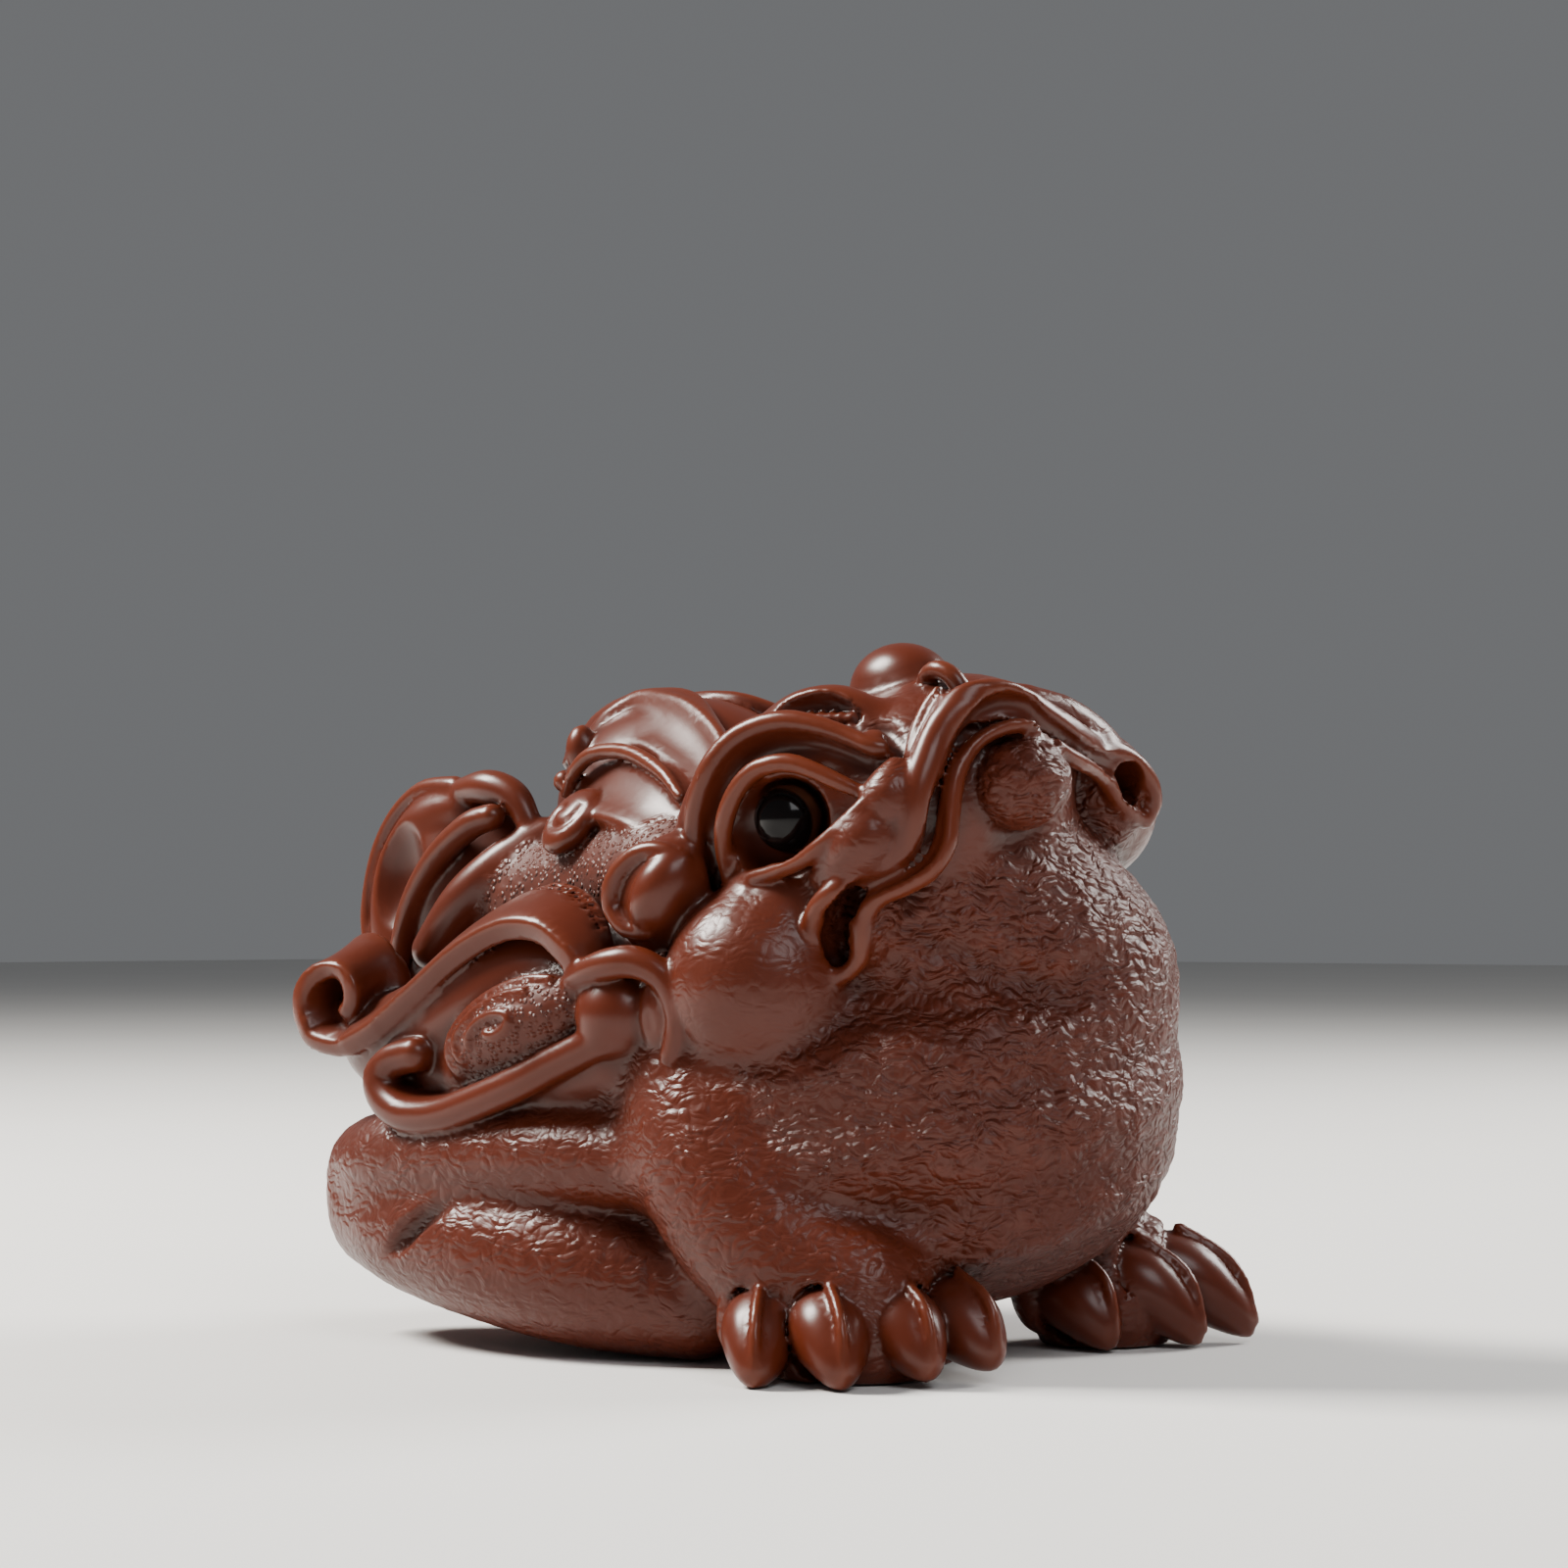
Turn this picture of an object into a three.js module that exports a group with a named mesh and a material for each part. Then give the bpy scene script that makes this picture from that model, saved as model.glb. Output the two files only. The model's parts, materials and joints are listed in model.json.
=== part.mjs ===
// Money toad tea pet: a wide crouching toad of unglazed red clay with its head thrown up.
// Millimetres, +Z up. The toad faces +X, its right flank is at -Y.
// The body is built up like clay: masses, folds and scrolls are added and pressed in
// one after another in a distance field, and the field's zero surface becomes the solid.
import * as THREE from "three";
import { mergeVertices } from "three/addons/utils/BufferGeometryUtils.js";
import { edgeTable, triTable } from "three/addons/objects/MarchingCubes.js";

// Driving sizes.
const GRID_STEP = 1.1; // spacing of the clay field
const BODY_TRIANGLES = 9000; // facets left on the body
const FIELD_LOW = [-58, -40, -1.5 * GRID_STEP];
const FIELD_HIGH = [56, 44, 77];
const ORIGIN_SHIFT = [3.84, -2.55, 0]; // moves the middle of the footprint onto the origin

const HEAD_AT = [29.5, -0.4, 48]; // between the corners of the mouth
const HEAD_YAW = 10.2; // degrees the head is turned towards its right
const HEAD_ROLL = 22; // degrees the right cheek is dropped

const TRUNK = { at: [-8, 0, 26], radii: [38, 26.5, 27] };
const CHEST = { at: [14.1, 2.9, 25], radii: [32, 28.1, 21.2] };
const THROAT = { at: [24.4, 5.2, 38.6], radii: [21.6, 20, 18.4] };
const NAPE = { at: [-11, 0, 51], radii: [18, 13.5, 16] };

const SKULL = { at: [-12, 0, 8], radii: [15, 17, 14.5] };
const JAW_POUCH = { at: [-2.8, -0.9, -1], radii: [13.7, 16.9, 13] };
const MUZZLE = { at: [-1, 0, 12], radii: [12, 15, 11.5] };
const CHIN_BALL = { at: [11, 0, 12.3], radii: [5.2, 5.3, 4.7] };
const CHEEK = { right: [-10.4, -22.4, -0.4], left: [-4.4, 19.4, 3], rightRadius: 10.4, leftRadius: 8.6 };
const ORBIT = { at: [-11, 12.5, 14.5], radii: [10.5, 8.5, 9.5] };
const EYE = { at: [-5.8, 16.5, 15.4], radius: 3.6, gap: 0.42 };

// Vectors.
const plus = (a, b) => [a[0] + b[0], a[1] + b[1], a[2] + b[2]];
const minus = (a, b) => [a[0] - b[0], a[1] - b[1], a[2] - b[2]];
const times = (a, s) => [a[0] * s, a[1] * s, a[2] * s];
const dot = (a, b) => a[0] * b[0] + a[1] * b[1] + a[2] * b[2];
const cross = (a, b) => [
  a[1] * b[2] - a[2] * b[1],
  a[2] * b[0] - a[0] * b[2],
  a[0] * b[1] - a[1] * b[0],
];
const unit = (a) => times(a, 1 / Math.hypot(...a));
const mix = (a, b, t) => a + (b - a) * t;
const radians = (degrees) => (degrees * Math.PI) / 180;

// Frames: the body's own and the tilted head's.
const BODY_AXES = [
  [1, 0, 0],
  [0, 1, 0],
  [0, 0, 1],
];

function headAxes() {
  const yaw = radians(HEAD_YAW);
  const roll = radians(HEAD_ROLL);
  const front = [Math.cos(yaw), -Math.sin(yaw), 0];
  const level = [Math.sin(yaw), Math.cos(yaw), 0];
  const left = plus(times(level, Math.cos(roll)), [0, 0, Math.sin(roll)]);
  return [front, left, cross(front, left)];
}

// A frame turns sizes given along its own axes into the body's millimetres; side is -1 for the right.
function makeFrame(origin, axes) {
  const direction = (v, side = 1) =>
    plus(plus(times(axes[0], v[0]), times(axes[1], side * v[1])), times(axes[2], v[2]));
  const point = (v, side = 1) => plus(origin, direction(v, side));
  return { axes, point, direction };
}
const BODY = makeFrame([0, 0, 0], BODY_AXES);
const HEAD = makeFrame(HEAD_AT, headAxes());

// Shapes: each has a box to look in and a distance.
function ball(at, radii, axes = BODY_AXES) {
  const r = Array.isArray(radii) ? radii : [radii, radii, radii];
  const reach = Math.max(...r);
  const distance = (x, y, z) => {
    const dx = x - at[0];
    const dy = y - at[1];
    const dz = z - at[2];
    const p = (dx * axes[0][0] + dy * axes[0][1] + dz * axes[0][2]) / r[0];
    const q = (dx * axes[1][0] + dy * axes[1][1] + dz * axes[1][2]) / r[1];
    const s = (dx * axes[2][0] + dy * axes[2][1] + dz * axes[2][2]) / r[2];
    const k0 = Math.sqrt(p * p + q * q + s * s);
    if (k0 < 1e-6) return -Math.min(...r);
    const k1 = Math.sqrt((p * p) / (r[0] * r[0]) + (q * q) / (r[1] * r[1]) + (s * s) / (r[2] * r[2]));
    return (k0 * (k0 - 1)) / k1;
  };
  return { low: at.map((v) => v - reach), high: at.map((v) => v + reach), distance };
}

// Points along a smooth line through the given stations; each station is [x, y, z, size, ...].
function smoothLine(stations, perSpan = 6) {
  const line = [];
  const last = stations.length - 1;
  for (let i = 0; i < last; i++) {
    const around = [i - 1, i, i + 1, i + 2].map((k) => stations[Math.min(Math.max(k, 0), last)]);
    for (let j = 0; j < perSpan; j++) line.push(catmull(around, j / perSpan));
  }
  line.push(stations[last].slice());
  return line;
}

function catmull([a, b, c, d], t) {
  return b.map(
    (v, k) =>
      0.5 *
      (2 * v +
        (c[k] - a[k]) * t +
        (2 * a[k] - 5 * v + 4 * c[k] - d[k]) * t * t +
        (3 * v - a[k] - 3 * c[k] + d[k]) * t * t * t),
  );
}

function boxAround(line, reach) {
  const low = [0, 1, 2].map((k) => Math.min(...line.map((p) => p[k])) - reach);
  const high = [0, 1, 2].map((k) => Math.max(...line.map((p) => p[k])) + reach);
  return { low, high };
}

// A round rope of changing radius along a smooth line: stations [x, y, z, radius].
function rope(stations, perSpan = 6) {
  const line = smoothLine(stations, perSpan);
  const reach = Math.max(...line.map((p) => p[3]));
  const distance = (x, y, z) => {
    let best = 1e9;
    for (let i = 0; i + 1 < line.length; i++) {
      const a = line[i];
      const b = line[i + 1];
      const ex = b[0] - a[0];
      const ey = b[1] - a[1];
      const ez = b[2] - a[2];
      const dx = x - a[0];
      const dy = y - a[1];
      const dz = z - a[2];
      let t = (dx * ex + dy * ey + dz * ez) / (ex * ex + ey * ey + ez * ez + 1e-12);
      t = t < 0 ? 0 : t > 1 ? 1 : t;
      const gx = dx - t * ex;
      const gy = dy - t * ey;
      const gz = dz - t * ez;
      const d = Math.sqrt(gx * gx + gy * gy + gz * gz) - (a[3] + (b[3] - a[3]) * t);
      if (d < best) best = d;
    }
    return best;
  };
  return { ...boxAround(line, reach), distance };
}

// A flat band along a smooth line: stations [x, y, z, half width], thick half thickness,
// facing the given way; cup sinks the middle of its face below its two edges, and soft
// is how much of the thickness its edges are rounded by.
function band(stations, { facing, thick, cup = 0, soft = 0.85, perSpan = 6 }) {
  const line = smoothLine(stations, perSpan);
  const spans = [];
  for (let i = 0; i + 1 < line.length; i++) {
    const edge = minus(line[i + 1], line[i]);
    const length = Math.hypot(edge[0], edge[1], edge[2]);
    if (length < 1e-6) continue;
    const along = times(edge, 1 / length);
    const look = typeof facing === "function" ? facing(i / (line.length - 1), line[i]) : facing;
    const across = unit(cross(along, look));
    spans.push({ from: line[i], to: line[i + 1], along, across, out: cross(across, along), length });
  }
  const reach = Math.max(...line.map((p) => p[3])) + thick + cup;
  const distance = (x, y, z) => {
    let best = 1e9;
    for (const s of spans) {
      const dx = x - s.from[0];
      const dy = y - s.from[1];
      const dz = z - s.from[2];
      let t = dx * s.along[0] + dy * s.along[1] + dz * s.along[2];
      const kept = t < 0 ? 0 : t > s.length ? s.length : t;
      const beyond = Math.abs(t - kept);
      t = kept / s.length;
      const half = s.from[3] + (s.to[3] - s.from[3]) * t;
      const u = Math.abs(dx * s.across[0] + dy * s.across[1] + dz * s.across[2]);
      let v = dx * s.out[0] + dy * s.out[1] + dz * s.out[2];
      const ratio = Math.min(u / half, 1);
      v += cup * (1 - ratio * ratio);
      const round = Math.min(thick, half) * soft;
      const qu = u - half + round;
      const qv = Math.abs(v) - thick + round;
      const outer = Math.sqrt(Math.max(qu, 0) ** 2 + Math.max(qv, 0) ** 2 + beyond * beyond);
      const d = outer + Math.min(Math.max(qu, qv), 0) - round;
      if (d < best) best = d;
    }
    return best;
  };
  return { ...boxAround(line, reach), distance };
}

// Stations of a scroll in the plane of two axes, winding from one angle to another.
function scroll(at, across, up, { from, to, outer, inner, size, endSize = size, steps = 10 }) {
  const stations = [];
  for (let i = 0; i <= steps; i++) {
    const t = i / steps;
    const angle = radians(mix(from, to, t));
    const r = mix(outer, inner, t);
    const p = plus(at, plus(times(across, r * Math.cos(angle)), times(up, r * Math.sin(angle))));
    stations.push([...p, mix(size, endSize, t)]);
  }
  return stations;
}

// The clay field: the distance to the surface at every grid point, below zero inside.
class Clay {
  constructor(low, high, step) {
    this.low = low;
    this.step = step;
    this.count = low.map((v, k) => Math.ceil((high[k] - v) / step) + 1);
    this.values = new Float32Array(this.count[0] * this.count[1] * this.count[2]).fill(50);
  }
  work(shape, reach, change) {
    const { low, step, count, values } = this;
    const first = low.map((v, k) => Math.max(0, Math.floor((shape.low[k] - reach - v) / step)));
    const last = low.map((v, k) => Math.min(count[k] - 1, Math.ceil((shape.high[k] + reach - v) / step)));
    for (let k = first[2]; k <= last[2]; k++) {
      for (let j = first[1]; j <= last[1]; j++) {
        let n = (k * count[1] + j) * count[0] + first[0];
        for (let i = first[0]; i <= last[0]; i++, n++) {
          const d = shape.distance(low[0] + i * step, low[1] + j * step, low[2] + k * step);
          values[n] = change(values[n], d);
        }
      }
    }
    return this;
  }
  // Adds a shape, rounding the joint by the blend.
  add(shape, blend = 0.8) {
    return this.work(shape, blend + 3, (v, d) => {
      const h = Math.max(blend - Math.abs(v - d), 0) / blend;
      return Math.min(v, d) - (h * h * blend) / 4;
    });
  }
  // Presses a shape in, rounding the edge by the blend.
  cut(shape, blend = 0.6) {
    return this.work(shape, blend + 3, (v, d) => {
      const h = Math.max(blend - Math.abs(v + d), 0) / blend;
      return Math.max(v, -d) + (h * h * blend) / 4;
    });
  }
}

// The toad, mass by mass.
function bodyMass(clay) {
  clay.add(ball(TRUNK.at, TRUNK.radii), 2);
  clay.add(ball(CHEST.at, CHEST.radii), 6);
  clay.add(ball(THROAT.at, THROAT.radii), 5);
  clay.add(ball(NAPE.at, NAPE.radii), 8);
}

// A point on the chest at a height, at an angle round from straight ahead, sunk by a depth.
function onChest(degrees, height, sunk = 0) {
  const [cx, cy, cz] = CHEST.at;
  const [rx, ry, rz] = CHEST.radii;
  const rise = Math.min((height - cz) / rz, 0.45);
  const level = Math.sqrt(1 - rise * rise);
  const a = radians(degrees);
  return [cx + Math.cos(a) * (rx * level - sunk), cy + Math.sin(a) * (ry * level - sunk), height];
}

// One skin roll round the chest: it climbs from the right flank to the left.
function chestRoll({ from, to, low, high, radius, sunk }) {
  const stations = [];
  for (let i = 0; i <= 8; i++) {
    const t = i / 8;
    const swell = Math.sin(Math.PI * Math.min(Math.max(t, 0.06), 0.94));
    stations.push([...onChest(mix(from, to, t), mix(low, high, t), sunk), radius * (0.45 + 0.55 * swell)]);
  }
  return rope(stations, 4);
}

function chestFolds(clay) {
  const rolls = [
    { from: -125, to: 40, low: 17, high: 30, radius: 3.8, sunk: 2.4 },
    { from: -115, to: 45, low: 25.5, high: 38, radius: 3.4, sunk: 2.4 },
    { from: -95, to: 15, low: 9, high: 19, radius: 3.8, sunk: 2.6 },
  ];
  for (const roll of rolls) clay.add(chestRoll(roll), 3.6);
}

function headMass(clay) {
  clay.add(ball(HEAD.point(SKULL.at), SKULL.radii, HEAD.axes), 5);
  clay.add(ball(HEAD.point(JAW_POUCH.at), JAW_POUCH.radii, HEAD.axes), 2.2);
  // the crease between the jaw and the throat
  clay.cut(rope(onHead([
    [7.6, 13.8, 0.6, 1.4],
    [11.5, 10.5, -3.4, 2.2],
    [13.9, 7.6, -6.4, 2.5],
    [15.9, 3.6, -8, 2.5],
    [16.9, -3.2, -7.1, 2.5],
    [14.1, -12.2, -5.2, 1.8],
  ], -1)), 2);
  clay.add(ball(HEAD.point(MUZZLE.at), MUZZLE.radii, HEAD.axes), 3);
  for (const side of [-1, 1]) {
    clay.add(rope(onHead([[-9, 17, 5, 7.5], [-3, 16, 5, 4.4]], side)), 3);
    clay.add(ball(eyeFrame(side).point(ORBIT.at, side), ORBIT.radii, HEAD.axes), 2.4);
  }
  // the two swellings between the right eye and the lip, and the flat pad behind the left lip
  clay.add(rope(onHead([
    [0.4, 17.8, 9.8, 2.2],
    [4, 16, 12.2, 3.3],
    [5.3, 14.2, 14.2, 2.4],
    [6.2, 12.6, 16, 2.8],
    [6.4, 10.6, 18, 1.6],
  ], -1)), 0.8);
  clay.add(rope(onHead([
    [4.8, 8.8, 17.4, 2.4],
    [5.2, 12, 14.8, 2.8],
    [5, 15.3, 11, 3],
    [4.4, 17.6, 6.8, 3.1],
  ])), 1.4);
  clay.add(ball(HEAD.point(CHEEK.right), CHEEK.rightRadius), 2);
  // the slack skin between the right cheek and the corner of the mouth
  clay.add(ball(HEAD.point([-6, 16.5, 4.5], -1), [6, 4.2, 6], HEAD.axes), 2);
  clay.add(ball(HEAD.point(CHEEK.left), CHEEK.leftRadius), 1.2);
}

// Stations given in the head's or the body's own frame, with the sizes of each carried along.
const inFrame = (frame, stations, side = 1) =>
  stations.map(([a, l, b, ...sizes]) => [...frame.point([a, l, b], side), ...sizes]);
const onHead = (stations, side) => inFrame(HEAD, stations, side);
const onBody = (stations, side) => inFrame(BODY, stations, side);

const UPPER_LIP = [
  [9.4, -0.5, 21.2, 2.1],
  [9.4, 2.6, 21.6, 2],
  [8.9, 5, 20.9, 1.9],
  [8.6, 7.2, 19.4, 1.8],
  [8.7, 9.3, 17.6, 1.8],
  [8.8, 11.1, 15.9, 1.7],
  [8.5, 12.4, 13.6, 1.7],
  [7.3, 13.7, 11, 1.6],
  [5.2, 15.7, 9.6, 1.3],
  [3.7, 18, 9.2, 1.2],
  [2.3, 19.9, 8.6, 1.2],
  [0.3, 20.9, 7.2, 1.2],
  [-1.4, 21.2, 4.9, 1.2],
  [-1.9, 21.2, 2.6, 1.1],
  [-1.3, 21, 0.8, 1],
  [0, 20.5, -0.1, 0.9],
];
const LOWER_LIP = [
  [0, 20.5, -0.1, 0.9],
  [1.1, 20, 0.2, 0.9],
  [2.4, 19.3, 1.4, 1],
  [3.1, 18.9, 3.3, 1.1],
  [3.6, 18.1, 5.3, 1.1],
  [5.2, 16.9, 6.9, 1.1],
  [7.3, 15, 7.5, 1.2],
  [9.1, 13.2, 8.3, 1.3],
  [9.9, 10.9, 10, 1.3],
  [9.9, 9.2, 12.5, 1.2],
  [9.9, 7.4, 15.2, 1.1],
  [9.9, 5.4, 17, 1],
  [10.2, 3.2, 18.1, 0.9],
  [11, 1, 18.5, 0.9],
  [12.1, -0.8, 18.3, 0.9],
  [12.9, -2.6, 16.9, 0.8],
];
const MOUTH_SLIT = [
  [1.7, 19.8, 6.4, 1.4],
  [3.3, 18.8, 7.8, 1.1],
  [5.6, 17.3, 8.3, 0.8],
  [7.7, 15.5, 8.8, 0.8],
  [9, 13.6, 9.6, 0.9],
  [9.8, 12, 11.2, 1],
  [10, 10.8, 13.3, 1],
  [10.3, 9.5, 15.4, 0.8],
  [10.4, 7.4, 17.3, 0.6],
  [10.2, 5, 19, 0.9],
  [10.6, 2, 20.3, 1.3],
  [11.4, -0.8, 20.3, 1.4],
  [12.1, -3, 19.1, 1.3],
];

// the left half of the mouth ends further forward, in a tight hairpin
const UPPER_LIP_LEFT = [
  [9.4, 0.5, 21.2, 2.1],
  [10.4, 2.2, 20.2, 1.9],
  [10.3, 4.8, 18.1, 1.7],
  [9.9, 7.5, 15.7, 1.5],
  [9, 10.6, 12.9, 1.3],
  [7.9, 13.6, 10.6, 1.1],
  [7.5, 16.4, 9.6, 1.1],
  [7.4, 18.6, 7.5, 1.1],
  [7, 20, 4.8, 1.1],
  [6.5, 20.1, 2.6, 1],
  [6, 18.9, 1.3, 0.9],
];
const LOWER_LIP_LEFT = [
  [12.9, 2.6, 16.9, 0.8],
  [12, 5, 14.2, 0.9],
  [10.9, 8.2, 11.6, 0.9],
  [9.2, 11.2, 9.8, 0.9],
  [7.7, 13.6, 8, 1],
  [7.1, 14.6, 6.3, 1],
  [6.8, 15.6, 4.4, 1],
  [6.4, 17.2, 2.4, 0.9],
  [6, 18.9, 1.3, 0.9],
];
const MOUTH_SLIT_LEFT = [
  [12.1, 3, 19.1, 1.3],
  [12, 4.6, 17, 1.1],
  [11.2, 7.2, 14.6, 0.9],
  [10.2, 9.8, 12.2, 0.8],
  [9, 12.6, 10.1, 0.9],
  [8.6, 15, 8.4, 1.1],
];
const MOUTH_CORNER_LEFT = { at: [5.6, 17, 6.2], radii: [4.4, 1.9, 2.7] };
// the thin rim along the top of the upper lip
const LIP_RIM = [
  [8.4, -4.8, 22.4, 0.5],
  [9.6, -3, 23.1, 0.8],
  [10.5, -1, 22.9, 0.9],
  [11, 1.6, 21.8, 0.9],
  [10.8, 4.4, 19.7, 0.9],
  [10.2, 7.6, 17, 0.8],
  [9.4, 10.6, 14.3, 0.8],
  [8.2, 13.6, 11.8, 0.7],
];
function mouth(clay) {
  clay.add(ball(HEAD.point([-1.4, 15.5, 4.6], -1), [6.2, 5, 7.5], HEAD.axes), 1.5);
  clay.add(ball(HEAD.point([1.5, 16.5, 5]), [6, 4.2, 6.5], HEAD.axes), 1.5);
  clay.add(rope(onHead(UPPER_LIP, -1)), 0.6);
  clay.add(rope(onHead(UPPER_LIP_LEFT)), 0.6);
  clay.add(rope(onHead(LIP_RIM)), 0.4);
  clay.add(rope(onHead(LOWER_LIP, -1)), 0.5);
  clay.add(rope(onHead(LOWER_LIP_LEFT)), 0.5);
  for (let i = 0; i < 2; i++) {
    const lifted = makeFrame(HEAD.point([0.9 * i, 0, 0.3 * i]), HEAD.axes);
    clay.cut(rope(inFrame(lifted, MOUTH_SLIT, -1)), 0.2);
    clay.cut(rope(inFrame(lifted, MOUTH_SLIT_LEFT, 1)), 0.2);
  }
  // the deep drop-shaped corner of the mouth
  for (let i = 0; i < 3; i++) {
    clay.cut(rope(onHead([
      [-0.6, 19.8 - 1.6 * i, 1.7, 1.3],
      [0, 19.4 - 1.6 * i, 4, 1.7],
      [0.9, 18.8 - 1.6 * i, 5.9, 1.5],
      [2.8, 18.2 - 1.6 * i, 7.5, 1],
    ], -1)), 0.3);
  }
  clay.cut(ball(HEAD.point(MOUTH_CORNER_LEFT.at), MOUTH_CORNER_LEFT.radii, HEAD.axes), 0.3);
  // the hollow under the chin
  clay.cut(ball(HEAD.point([12.8, -2, 6.8]), [3.6, 5.4, 2.5], HEAD.axes), 1.8);
  // the gap under the hood over the chin ball
  clay.cut(rope(onHead([
    [12.6, 4.6, 15.2, 0.6],
    [13.3, 2.4, 16.8, 1],
    [13.7, 0, 17.3, 1.1],
    [13.7, -2.4, 16.8, 1],
    [12.8, -4.6, 15.2, 0.6],
  ], -1)), 0.2);
  clay.add(ball(HEAD.point(CHIN_BALL.at), CHIN_BALL.radii, HEAD.axes), 0.2);
}

const BROW = [
  [-20.8, 20.2, 8.2, 1.4],
  [-17.8, 20, 14.8, 2],
  [-14.2, 18.2, 19.6, 2.3],
  [-10.8, 15.2, 22.4, 2.3],
  [-6.6, 12.8, 22.8, 2.2],
  [-1.6, 11.4, 21.1, 2],
  [2.2, 9.9, 18.9, 1.6],
  [4, 7.6, 17.4, 1],
];
const BROW_RIM = [
  [-17.2, 21, 7.6, 0.8],
  [-16, 22, 12.6, 1],
  [-14.6, 21.3, 17.6, 1.1],
  [-12.6, 19.8, 21.4, 1.2],
  [-10.8, 17.8, 23.6, 1.2],
  [-8.4, 15.8, 24.7, 1.2],
  [-5, 14, 24.8, 1.2],
  [-1.7, 12.7, 23.7, 1.1],
  [1.3, 11.7, 22.1, 1],
  [4, 11, 20.6, 1],
  [4.8, 9.4, 19.8, 0.9],
];
const BROW_GROOVE = [
  [-14.6, 21.2, 8.6, 0.9],
  [-13.6, 21.1, 12.6, 1.2],
  [-12.2, 20.7, 16.4, 1.4],
  [-10.1, 19.3, 19.6, 1.5],
  [-8.1, 17.3, 21.6, 1.5],
  [-5.1, 15.5, 22.3, 1.5],
  [-1.2, 14.1, 21.5, 1.4],
  [2.1, 12.6, 19.5, 1.3],
  [5.2, 11.8, 17.8, 0.8],
];
const UPPER_LID = [
  [-12.8, 21, 9.6, 0.7],
  [-11.7, 21.3, 13.4, 0.9],
  [-10.2, 21.1, 16.8, 1],
  [-8.3, 20, 19.6, 1],
  [-6.2, 18.8, 21.2, 1],
  [-4, 17.8, 21.6, 1],
  [-2, 16.9, 21.3, 1],
  [0.2, 16.2, 20.2, 0.9],
  [2.2, 15.4, 18.7, 0.9],
  [4.4, 14.4, 17, 0.7],
];
const LOWER_LID = [
  [-12, 21.2, 9.4, 0.7],
  [-8.3, 21.4, 10.7, 0.9],
  [-5.1, 20.9, 11.2, 0.9],
  [-1.2, 19.9, 12.1, 0.9],
  [1.6, 18.8, 13.4, 0.9],
  [3.6, 17.2, 14.8, 0.8],
  [5.2, 15.6, 16.1, 0.7],
];

// The left eye and its brow sit lower on the tilted head than the right ones.
const EYE_DROP = [-7, -2, -6.2];
const eyeFrame = (side) => makeFrame(HEAD.point(side > 0 ? EYE_DROP : [0, 0, 0]), HEAD.axes);

function eyesAndBrows(clay) {
  for (const side of [-1, 1]) {
    const frame = eyeFrame(side);
    const eye = frame.point(EYE.at, side);
    clay.add(rope(inFrame(frame, BROW, side)), 1);
    clay.add(rope(inFrame(frame, BROW_RIM, side)), 0.5);
    clay.cut(rope(inFrame(frame, BROW_GROOVE, side)), 0.3);
    // the hollow the eye lies in
    clay.cut(ball(frame.point([-4.6, 19.6, 15.3], side), [6.8, 4.6, 5], frame.axes), 0.4);
    clay.add(rope(inFrame(frame, UPPER_LID, side)), 0.5);
    clay.add(rope(inFrame(frame, LOWER_LID, side)), 0.5);
    clay.add(ball(plus(eye, frame.direction([0, -1.8, 0], side)), EYE.radius + 0.9), 0.5);
    clay.cut(ball(plus(eye, frame.direction([1.7, 1.6, 0.4], side)), EYE.radius + 0.8), 0.3);
  }
}

function eyeSockets(clay) {
  for (const side of [-1, 1]) {
    clay.cut(ball(eyeFrame(side).point(EYE.at, side), EYE.radius + EYE.gap), 0.05);
  }
}

function forehead(clay) {
  // the rounded brow that shows over the middle of the head
  clay.add(ball(HEAD.point([-9.6, 5.4, 21.4]), [6.4, 4.8, 4.9], HEAD.axes), 1.2);
  for (const side of [-1, 1]) {
    const frame = eyeFrame(side);
    // brow bump with a lens-shaped hollow that holds a row of beads
    clay.add(rope(inFrame(frame, [
      [-12.6, 9.4, 22, 2.8],
      [-8.8, 8.4, 22.8, 3.4],
      [-5.4, 7, 22.5, 3.5],
      [-2.2, 5.6, 21.2, 2.8],
    ], side)), 1);
    clay.cut(rope(inFrame(frame, [
      [-10, 12, 24.4, 0.7],
      [-7.8, 11.3, 24.9, 1.7],
      [-5.4, 10.1, 24.8, 2],
      [-3.4, 8.9, 24, 1.7],
      [-1.6, 7.8, 22.8, 0.7],
    ], side)), 0.3);
    for (let i = 0; i < 7; i++) {
      clay.add(ball(frame.point([-8.7 + 1.05 * i, 10.4 - 0.46 * i, 23.8 - 0.2 * i], side), 0.8), 0.1);
    }
    // nostril: a hooked groove round a small curl
    clay.cut(rope(inFrame(frame, [
      [-0.4, 9.8, 22, 0.7],
      [0.6, 8.5, 22.3, 1],
      [2, 7.9, 21.9, 1.2],
      [3.8, 8.3, 21, 1.2],
      [5.6, 9.2, 19.9, 1],
      [7, 10.2, 18.6, 0.6],
    ], side)), 0.3);
    clay.add(ball(frame.point([2.8, 10, 21], side), [1.7, 1.3, 1.1], HEAD.axes), 0.2);
  }
  // two thin rims side by side behind the right half of the lip
  clay.add(rope(onHead([
    [8.2, 11.2, 16.9, 0.5],
    [7.8, 8.6, 19.1, 0.8],
    [7.4, 5.6, 21.3, 0.8],
    [8, 4, 23, 0.6],
  ], -1)), 0.3);
  clay.add(rope(onHead([
    [6.7, 9.6, 18.6, 0.5],
    [6.4, 7.2, 20.6, 0.8],
    [6.3, 4.8, 22.4, 0.8],
    [7, 3.4, 23.8, 0.5],
  ], -1)), 0.3);
  clay.add(scrollLoop(), 0.3);
}

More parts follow.
